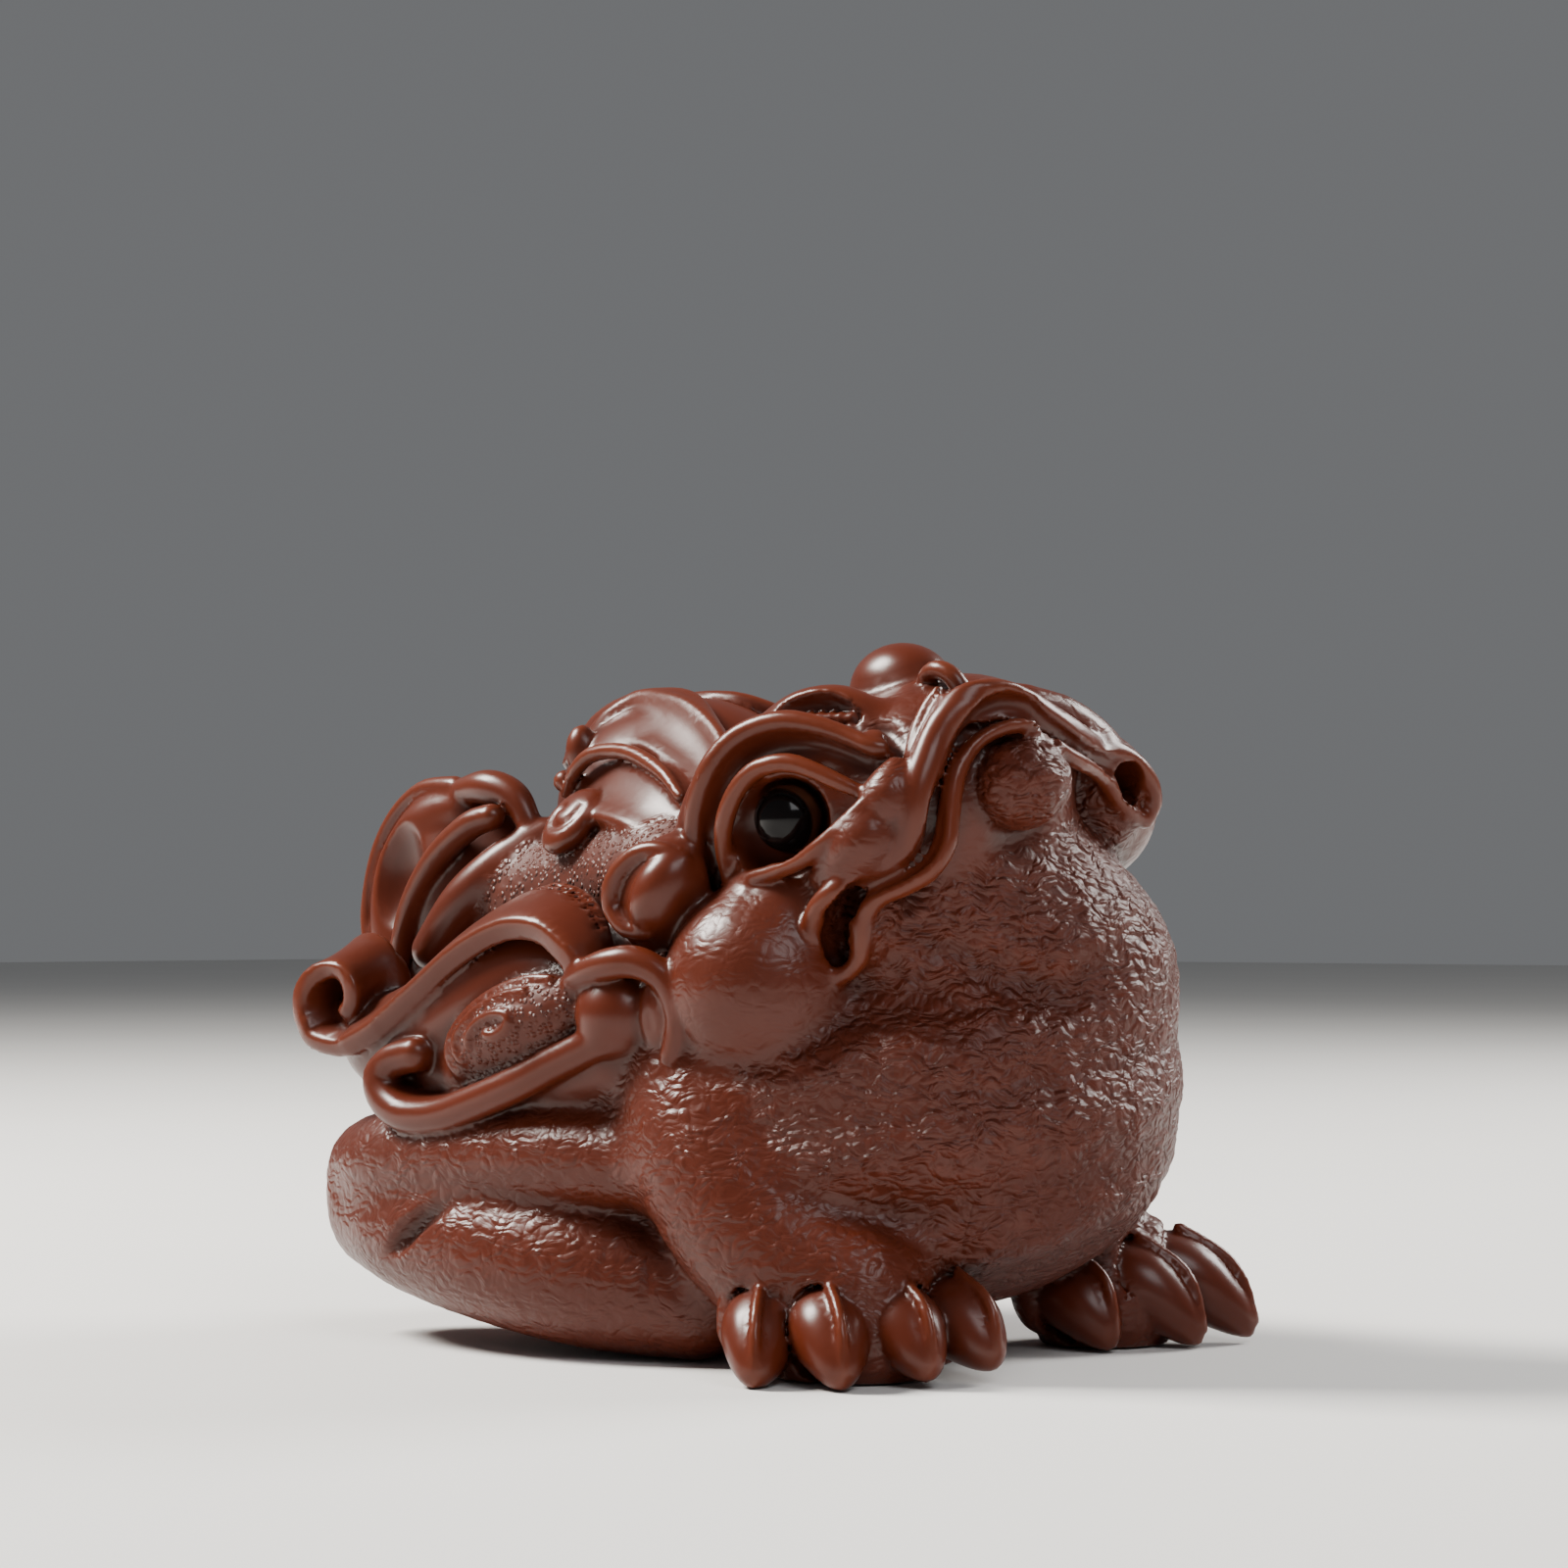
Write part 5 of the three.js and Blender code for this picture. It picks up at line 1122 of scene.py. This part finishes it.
def mesh_piece(name, points, faces, marks):
    """A smooth-shaded mesh object in metres, with one number per point for each mark."""
    mesh = bpy.data.meshes.new(name)
    mesh.vertices.add(len(points))
    mesh.vertices.foreach_set("co", np.ascontiguousarray(points * MM, dtype=np.float32).ravel())
    size = faces.shape[1]
    mesh.loops.add(faces.size)
    mesh.loops.foreach_set("vertex_index", faces.astype(np.int32).ravel())
    mesh.polygons.add(len(faces))
    mesh.polygons.foreach_set("loop_start", np.arange(0, faces.size, size, dtype=np.int32))
    mesh.update(calc_edges=True)
    for key, values in marks.items():
        mark = mesh.attributes.new(key, "FLOAT", "POINT")
        mark.data.foreach_set("value", values.astype(np.float32))
    mesh.validate()
    mesh.shade_smooth()
    piece = bpy.data.objects.new(name, mesh)
    bpy.context.scene.collection.objects.link(piece)
    return piece


def fewer_faces(piece, count):
    """Thins the mesh where the surface is calm, and keeps at most the given number of triangles."""
    bpy.context.view_layer.objects.active = piece
    for tool in ("TRIANGULATE", "DECIMATE"):
        change = piece.modifiers.new(tool.lower(), tool)
        if tool == "DECIMATE":
            change.ratio = min(1, count / len(piece.data.polygons))
        bpy.ops.object.modifier_apply(modifier=change.name)
    piece.data.shade_smooth()


def largest_part(points, faces, passes=60):
    """Drops crumbs that aren't joined to the largest part: which points stay, and its faces."""
    group = np.arange(len(points))
    for _ in range(passes):
        low = group[faces].min(axis=1)
        before = group.copy()
        for k in range(faces.shape[1]):
            np.minimum.at(group, faces[:, k], low)
        group = group[group]
        if np.array_equal(before, group):
            break
    names, counts = np.unique(group, return_counts=True)
    main = group == names[counts.argmax()]
    number = np.cumsum(main) - 1
    kept = faces[main[faces[:, 0]]]
    return main, number[kept]


# Materials.
def node(tree, kind, place, values=None, **settings):
    """A node with its settings and input values; a value that is another node's output is linked."""
    made = tree.nodes.new(kind)
    made.location = place
    for key, value in settings.items():
        setattr(made, key, value)
    for key, value in (values or {}).items():
        if isinstance(value, bpy.types.NodeSocket):
            tree.links.new(value, made.inputs[key])
        else:
            made.inputs[key].default_value = value
    return made


def new_material(name, values):
    """A material with one plain shader; returns it, its node tree and the shader."""
    material = bpy.data.materials.new(name)
    material.use_nodes = True
    tree = material.node_tree
    tree.nodes.clear()
    shader = node(tree, "ShaderNodeBsdfPrincipled", (900, 0), values)
    node(tree, "ShaderNodeOutputMaterial", (1200, 0), {"Surface": shader.outputs[0]})
    return material, tree, shader


def mark_node(tree, name, place):
    """The number that the mesh carries under a name at each point."""
    mark = node(tree, "ShaderNodeAttribute", place, attribute_name=name, attribute_type="GEOMETRY")
    return mark.outputs["Fac"]


def ranged(tree, value, low, high, place, to_low=0.0, to_high=1.0):
    """Maps a value between two limits onto another range, and keeps it in that range."""
    values = {0: value, 1: low, 2: high, 3: to_low, 4: to_high}
    return node(tree, "ShaderNodeMapRange", place, values, clamp=True).outputs[0]


def worked_out(tree, how, place, *values):
    return node(tree, "ShaderNodeMath", place, dict(enumerate(values)), operation=how).outputs[0]


def blended(tree, share, a, b, place):
    """Mixes two colours by a share; each is another node's output or one colour."""
    return node(tree, "ShaderNodeMix", place, {0: share, 6: a, 7: b}, data_type="RGBA").outputs[2]


def opaque(colour, light=1):
    """A colour made darker by a factor, with its alpha."""
    return (*(light * v for v in colour), 1)


def grain_group():
    """The fine grain of fired clay as a height from 0 to 1, used by the body and the eye rims."""
    group = bpy.data.node_groups.new("ClayGrain", "ShaderNodeTree")
    group.interface.new_socket("Scale", in_out="INPUT", socket_type="NodeSocketFloat")
    group.interface.new_socket("Height", in_out="OUTPUT", socket_type="NodeSocketFloat")
    start = node(group, "NodeGroupInput", (-600, 0))
    place = node(group, "ShaderNodeTexCoord", (-600, 200)).outputs["Object"]
    fine = node(group, "ShaderNodeTexNoise", (-300, 100), {
        "Vector": place, "Scale": start.outputs["Scale"], "Detail": 4.0, "Roughness": 0.6})
    node(group, "NodeGroupOutput", (400, 0), {"Height": fine.outputs["Fac"]})
    return group


def skin_folds(tree, place, skin):
    """Level folds up to a millimetre high: 0 in a crease, 1 on a fold, and nothing on polished clay."""
    bend = node(tree, "ShaderNodeTexNoise", (-1400, -1100),
                {"Vector": place, "Scale": 330.0, "Detail": 1.0})
    centred = node(tree, "ShaderNodeVectorMath", (-1200, -1100),
                   {0: bend.outputs["Color"], 1: (0.5, 0.5, 0.5)}, operation="SUBTRACT")
    warped = node(tree, "ShaderNodeVectorMath", (-1000, -1100),
                  {0: centred.outputs[0], 1: (0.0028, 0.0028, 0.0028), 2: place}, operation="MULTIPLY_ADD")
    heights = []
    for k, (scale, stretch, share) in enumerate(((600.0, 1.9, 0.7), (1100.0, 1.5, 0.3))):
        y = -1100 - 250 * k
        laid = node(tree, "ShaderNodeMapping", (-800, y),
                    {"Vector": warped.outputs[0], "Scale": (1, 1, stretch)})
        cells = node(tree, "ShaderNodeTexVoronoi", (-600, y),
                     {"Vector": laid.outputs[0], "Scale": scale, "Randomness": 1.0})
        heights.append(ranged(tree, cells.outputs["Distance"], 0.1, 0.68, (-300, y), share, 0.0))
    total = worked_out(tree, "ADD", (0, -1100), *heights)
    return worked_out(tree, "MULTIPLY", (200, -1100), total, skin)


def clay_colour(tree, sizes, patches, skin):
    """The clay in faint patches, with painted highlight and wear on raised edges, painted shade in creases,
    and painted shade with tea stain in hollows.
    """
    hollow = mark_node(tree, "hollow", (-1200, 0))
    # painted shade in hollows, which also stands for tea stain there
    deep = ranged(tree, hollow, 0.0, -0.65, (-900, 0))
    # painted highlight on raised edges, which also stands for their wear
    raised = ranged(tree, hollow, 0.25, 1.3, (-900, -150))
    # painted shade in the skin's creases
    crease_shade = ranged(tree, mark_node(tree, "fold", (-1200, -300)), 0.75, 0.25, (-900, -300))
    crease_shade = worked_out(tree, "MULTIPLY", (-700, -300), crease_shade, skin)
    patchy = ranged(tree, patches, 0.3, 0.7, (-700, -500))
    clay = sizes.clay_colour
    base = blended(tree, patchy, opaque(clay), opaque(clay, 0.86), (-500, 100))
    base = blended(tree, raised, base, opaque(sizes.worn_and_highlight_colour), (-300, 100))
    base = blended(tree, crease_shade, base, opaque(clay, 0.8), (-100, 100))
    return blended(tree, deep, base, opaque(sizes.recess_shade_and_stain_colour), (100, 100))


def clay_relief(tree, grain, place, skin):
    """Fine creases between the carved wrinkles, granules on the back, and the grain of the clay."""
    grained = mark_node(tree, "grain", (-1200, -1500))
    plain = worked_out(tree, "SUBTRACT", (-1000, -1300), 1.0, grained)
    folds = skin_folds(tree, place, worked_out(tree, "MULTIPLY", (-800, -1300), plain, skin))
    seeds = node(tree, "ShaderNodeTexVoronoi", (-900, -1500),
                 {"Vector": place, "Scale": 1350.0, "Randomness": 0.8}).outputs["Distance"]
    beads = ranged(tree, seeds, 0.5, 0.15, (-600, -1500))
    beads = worked_out(tree, "MULTIPLY", (-300, -1500), beads, grained)
    clay_grain = node(tree, "ShaderNodeGroup", (-1000, -800), {"Scale": 900}, node_tree=grain)
    bump = node(tree, "ShaderNodeBump", (200, -900), {
        "Height": clay_grain.outputs["Height"], "Strength": 0.15, "Distance": 0.00006})
    for x, height, strength, depth in ((400, beads, 0.9, 0.00022), (600, folds, 1.0, 0.00042)):
        bump = node(tree, "ShaderNodeBump", (x, -900), {
            "Height": height, "Strength": strength, "Distance": depth, "Normal": bump.outputs[0]})
    return bump.outputs[0]


def clay_material(sizes, grain):
    material, tree, shader = new_material("red_clay", {"IOR": 1.5, "Specular IOR Level": 0.3})
    skin = mark_node(tree, "skin", (-1200, 300))
    place = node(tree, "ShaderNodeTexCoord", (-1400, -600)).outputs["Object"]
    patches = node(tree, "ShaderNodeTexNoise", (-1000, -500),
                   {"Vector": place, "Scale": 55.0, "Detail": 5.0}).outputs["Fac"]
    rough = ranged(tree, skin, 0.0, 1.0, (-300, -100), sizes.polished_roughness, sizes.skin_roughness)
    spread = worked_out(tree, "MULTIPLY_ADD", (100, -200), patches, 0.14, rough)
    tree.links.new(clay_colour(tree, sizes, patches, skin), shader.inputs["Base Color"])
    tree.links.new(spread, shader.inputs["Roughness"])
    tree.links.new(clay_relief(tree, grain, place, skin), shader.inputs["Normal"])
    return material


def eye_material(sizes, grain):
    """Dark glaze, with a ring of mottled clay round it."""
    material, tree, shader = new_material("black_glaze", {"IOR": 1.45, "Specular IOR Level": 0.22})
    clay_grain = node(tree, "ShaderNodeGroup", (-600, -300), {"Scale": 600}, node_tree=grain)
    rim = ranged(tree, mark_node(tree, "gaze", (-600, 0)), 1.2, 1.3, (-300, 0))
    mottled = blended(tree, clay_grain.outputs["Height"], opaque(sizes.eye_rim_colour),
                      opaque((0.02, 0.006, 0.003)), (-100, 200))
    colour = blended(tree, rim, opaque(sizes.eye_colour), mottled, (200, 100))
    tree.links.new(colour, shader.inputs["Base Color"])
    tree.links.new(ranged(tree, rim, 0.0, 1.0, (200, -200), 0.13, 0.35), shader.inputs["Roughness"])
    return material


def floor_material(sizes):
    material, tree, shader = new_material("pale_floor", {"Roughness": 0.85})
    place = node(tree, "ShaderNodeTexCoord", (-900, 0)).outputs["Object"]
    cloud = node(tree, "ShaderNodeTexNoise", (-700, 0), {"Vector": place, "Scale": 9.0, "Detail": 6.0})
    pale = sizes.floor_colour
    shade = blended(tree, cloud.outputs["Fac"], opaque(pale), opaque(pale, 0.94), (-300, 0))
    tree.links.new(shade, shader.inputs["Base Color"])
    return material


# The stage, in metres and degrees.
MIDDLE = (0, 0, 0.035)
FLOOR = dict(size=6, location=(0, 0, -0.0002))
LAMPS = [
    dict(name="key_light", place=(-0.55, -0.3, 0.7), width=0.3, power=25, colour=(1, 0.96, 0.9)),
    dict(name="fill_light", place=(0.8, -0.35, 0.75), width=0.5, power=5, colour=(0.97, 0.98, 1)),
    dict(name="rim_light", place=(0.25, 0.8, 0.55), width=0.4, power=12, colour=(1, 0.98, 0.95)),
]
SKY = dict(colour=(0.8, 0.82, 0.85, 1), strength=0.2)
PHOTO_WIDTH = 1600  # pixels
AIM_LEFT = 10  # pixels from the photograph's middle to the point that the camera aims at
AIM_BELOW = 240
CAMERA = dict(azimuth=42, elevation=1.5, focal_length=88.83, sensor=36)


def lamp(name, place, width, power, colour):
    light = bpy.data.lights.new(name, "AREA")
    light.size = width
    light.energy = power
    light.color = colour
    piece = bpy.data.objects.new(name, light)
    piece.location = place
    piece.rotation_euler = (Vector(MIDDLE) - Vector(place)).to_track_quat("-Z", "Y").to_euler()
    bpy.context.scene.collection.objects.link(piece)


def sky():
    world = bpy.data.worlds.new("studio")
    world.use_nodes = True
    light = world.node_tree.nodes["Background"]
    light.inputs[0].default_value = SKY["colour"]
    light.inputs[1].default_value = SKY["strength"]
    return world


def photo_camera(distance):
    """A camera at the photograph's angle, aimed at the toad's middle and shifted to its frame."""
    azimuth, elevation = radians(CAMERA["azimuth"]), radians(CAMERA["elevation"])
    level = math.cos(elevation)
    away = Vector((math.sin(azimuth) * level, -math.cos(azimuth) * level, math.sin(elevation)))
    aim = Vector((ORIGIN_SHIFT[0] * MM, ORIGIN_SHIFT[1] * MM, MIDDLE[2]))
    lens = bpy.data.cameras.new("camera")
    lens.lens = CAMERA["focal_length"]
    lens.sensor_width = CAMERA["sensor"]
    lens.shift_x = AIM_LEFT / PHOTO_WIDTH
    lens.shift_y = AIM_BELOW / PHOTO_WIDTH
    camera = bpy.data.objects.new("camera", lens)
    camera.location = aim + distance * away
    camera.rotation_euler = (-away).to_track_quat("-Z", "Y").to_euler()
    bpy.context.scene.collection.objects.link(camera)
    return camera


def eyeball(side, rings=40, spokes=64, inset=0.02):
    """Points, faces and the angle from the gaze of one eye: a ball whose cornea stands a little proud.

    A faint groove runs round it, and inset keeps its end rings just off the poles.
    """
    look = np.array(unit(HEAD.direction([0.42, 1, 0.1], side)))
    across = np.array(unit(cross([0, 0, 1], list(look))))
    up = np.cross(look, across)
    centre = np.array(eye_frame(side).point(EYE["at"], side))
    points, gaze = [], []
    for i in range(rings + 1):
        away = math.pi * (i + inset) / (rings + 2 * inset)
        proud = 0.05 * math.exp(-(away / 0.55) ** 2)
        groove = 0.03 * math.exp(-((away - 1.17) / 0.05) ** 2)
        r = EYE["radius"] - 0.1 + proud - groove
        for j in range(spokes):
            turn = 2 * math.pi * j / spokes
            spread = math.cos(turn) * across + math.sin(turn) * up
            points.append(centre + r * (math.cos(away) * look + math.sin(away) * spread))
            gaze.append(away)
    faces = []
    for i in range(rings):
        near, far = i * spokes, (i + 1) * spokes
        for j in range(spokes):
            after = (j + 1) % spokes
            faces.append([near + j, far + j, far + after, near + after])
    return np.array(points), np.array(faces), np.array(gaze)


# The add-on: sizes and colours that a user would change, an operator for each piece, and a panel.
def number(name, description, default, **limits):
    return FloatProperty(name=name, description=description, default=default, **limits)


def colour(name, description, default):
    return FloatVectorProperty(name=name, description=description, default=default, subtype="COLOR")


class ToadSizes(bpy.types.PropertyGroup):
    grid_step: number("Grid step", "Spacing of the clay field, in millimetres", 0.42, min=0.3, max=2)
    triangles: IntProperty(
        name="Triangles", description="Most triangles kept on the body",
        default=196000, min=10000, max=199000)
    wrinkle_depth: number("Wrinkle depth", "Depth of the skin's carved creases, in millimetres", 0.26)
    granule_height: number("Granule height", "Height of the grains on the back, in millimetres", 0.12)
    polished_roughness: number(
        "Polished roughness", "Roughness of the rubbed folds", 0.23, subtype="FACTOR")
    skin_roughness: number("Skin roughness", "Roughness of the wrinkled skin", 0.38, subtype="FACTOR")
    clay_colour: colour("Clay", "Main colour of the clay", (0.084, 0.0142, 0.0053))
    # painted highlight on raised edges, together with their wear
    worn_and_highlight_colour: colour("Worn clay", "Colour of raised, rubbed edges", (0.14, 0.029, 0.0105))
    # painted shade in hollows, together with tea stain there
    recess_shade_and_stain_colour: colour("Recesses", "Colour of deep hollows", (0.02, 0.004, 0.002))
    eye_colour: colour("Eye", "Colour of the eye", (0.003, 0.002, 0.002))
    eye_rim_colour: colour("Eye rim", "Colour of the ring round the eye", (0.10, 0.032, 0.014))
    floor_colour: colour("Floor", "Colour of the studio floor", (0.74, 0.73, 0.71))
    camera_distance: number(
        "Camera distance", "From the middle of the toad to the camera", 0.42, unit="LENGTH")


class TOAD_OT_body(bpy.types.Operator):
    """Builds the toad's clay body with its wrinkled and granular skin"""

    bl_idname = "toad.body"
    bl_label = "Clay body"

    def execute(self, context):
        sizes = context.scene.toad_sizes
        clay = Clay(FIELD_LOW, FIELD_HIGH, sizes.grid_step * (1))
        sculpt(clay)
        points, faces = surface_of(clay)
        main, faces = largest_part(points, faces)
        points, marks = pressed_skin(clay, points[main], sizes)
        body = mesh_piece("clay_toad", points + np.array(ORIGIN_SHIFT), faces, marks)
        fewer_faces(body, sizes.triangles)
        body.data.materials.append(clay_material(sizes, grain_group()))
        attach(body, "root")
        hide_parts("toad_body")
        return {"FINISHED"}


class TOAD_OT_eyes(bpy.types.Operator):
    """Builds the two glossy eyes, each with a slightly raised cornea"""

    bl_idname = "toad.eyes"
    bl_label = "Eyes"

    def execute(self, context):
        material = eye_material(context.scene.toad_sizes, bpy.data.node_groups["ClayGrain"])
        for side, name in zip(SIDES, ("eye_right", "eye_left")):
            points, faces, gaze = eyeball(side)
            eye = mesh_piece("glossy_" + name, points + np.array(ORIGIN_SHIFT), faces, dict(gaze=gaze))
            eye.data.materials.append(material)
            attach(eye, "root")
            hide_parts(name)
        return {"FINISHED"}


class TOAD_OT_stage(bpy.types.Operator):
    """Sets up the pale floor, the soft lights and the camera"""

    bl_idname = "toad.stage"
    bl_label = "Stage"

    def execute(self, context):
        sizes = context.scene.toad_sizes
        bpy.ops.mesh.primitive_plane_add(**FLOOR)
        floor = context.active_object
        floor.name = "floor"
        floor.data.materials.append(floor_material(sizes))
        for light in LAMPS:
            lamp(**light)
        context.scene.world = sky()
        context.scene.camera = photo_camera(sizes.camera_distance)
        return {"FINISHED"}


class TOAD_PT_panel(bpy.types.Panel):
    """The toad's sizes, colours and pieces"""

    bl_label = "Money toad"
    bl_idname = "TOAD_PT_panel"
    bl_space_type = "VIEW_3D"
    bl_region_type = "UI"
    bl_category = "Toad"

    def draw(self, context):
        for name in ToadSizes.__annotations__:
            self.layout.prop(context.scene.toad_sizes, name)
        for operator in OPERATORS:
            self.layout.operator(operator.bl_idname)


OPERATORS = (TOAD_OT_body, TOAD_OT_eyes, TOAD_OT_stage)


def register():
    for kind in (ToadSizes, *OPERATORS, TOAD_PT_panel):
        bpy.utils.register_class(kind)
    bpy.types.Scene.toad_sizes = bpy.props.PointerProperty(type=ToadSizes)


def unregister():
    del bpy.types.Scene.toad_sizes
    for kind in (TOAD_PT_panel, *reversed(OPERATORS), ToadSizes):
        bpy.utils.unregister_class(kind)


def main():
    register()
    bpy.ops.toad.body()
    bpy.ops.toad.eyes()
    bpy.ops.toad.stage()
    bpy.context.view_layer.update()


if __name__ == "__main__":
    main()
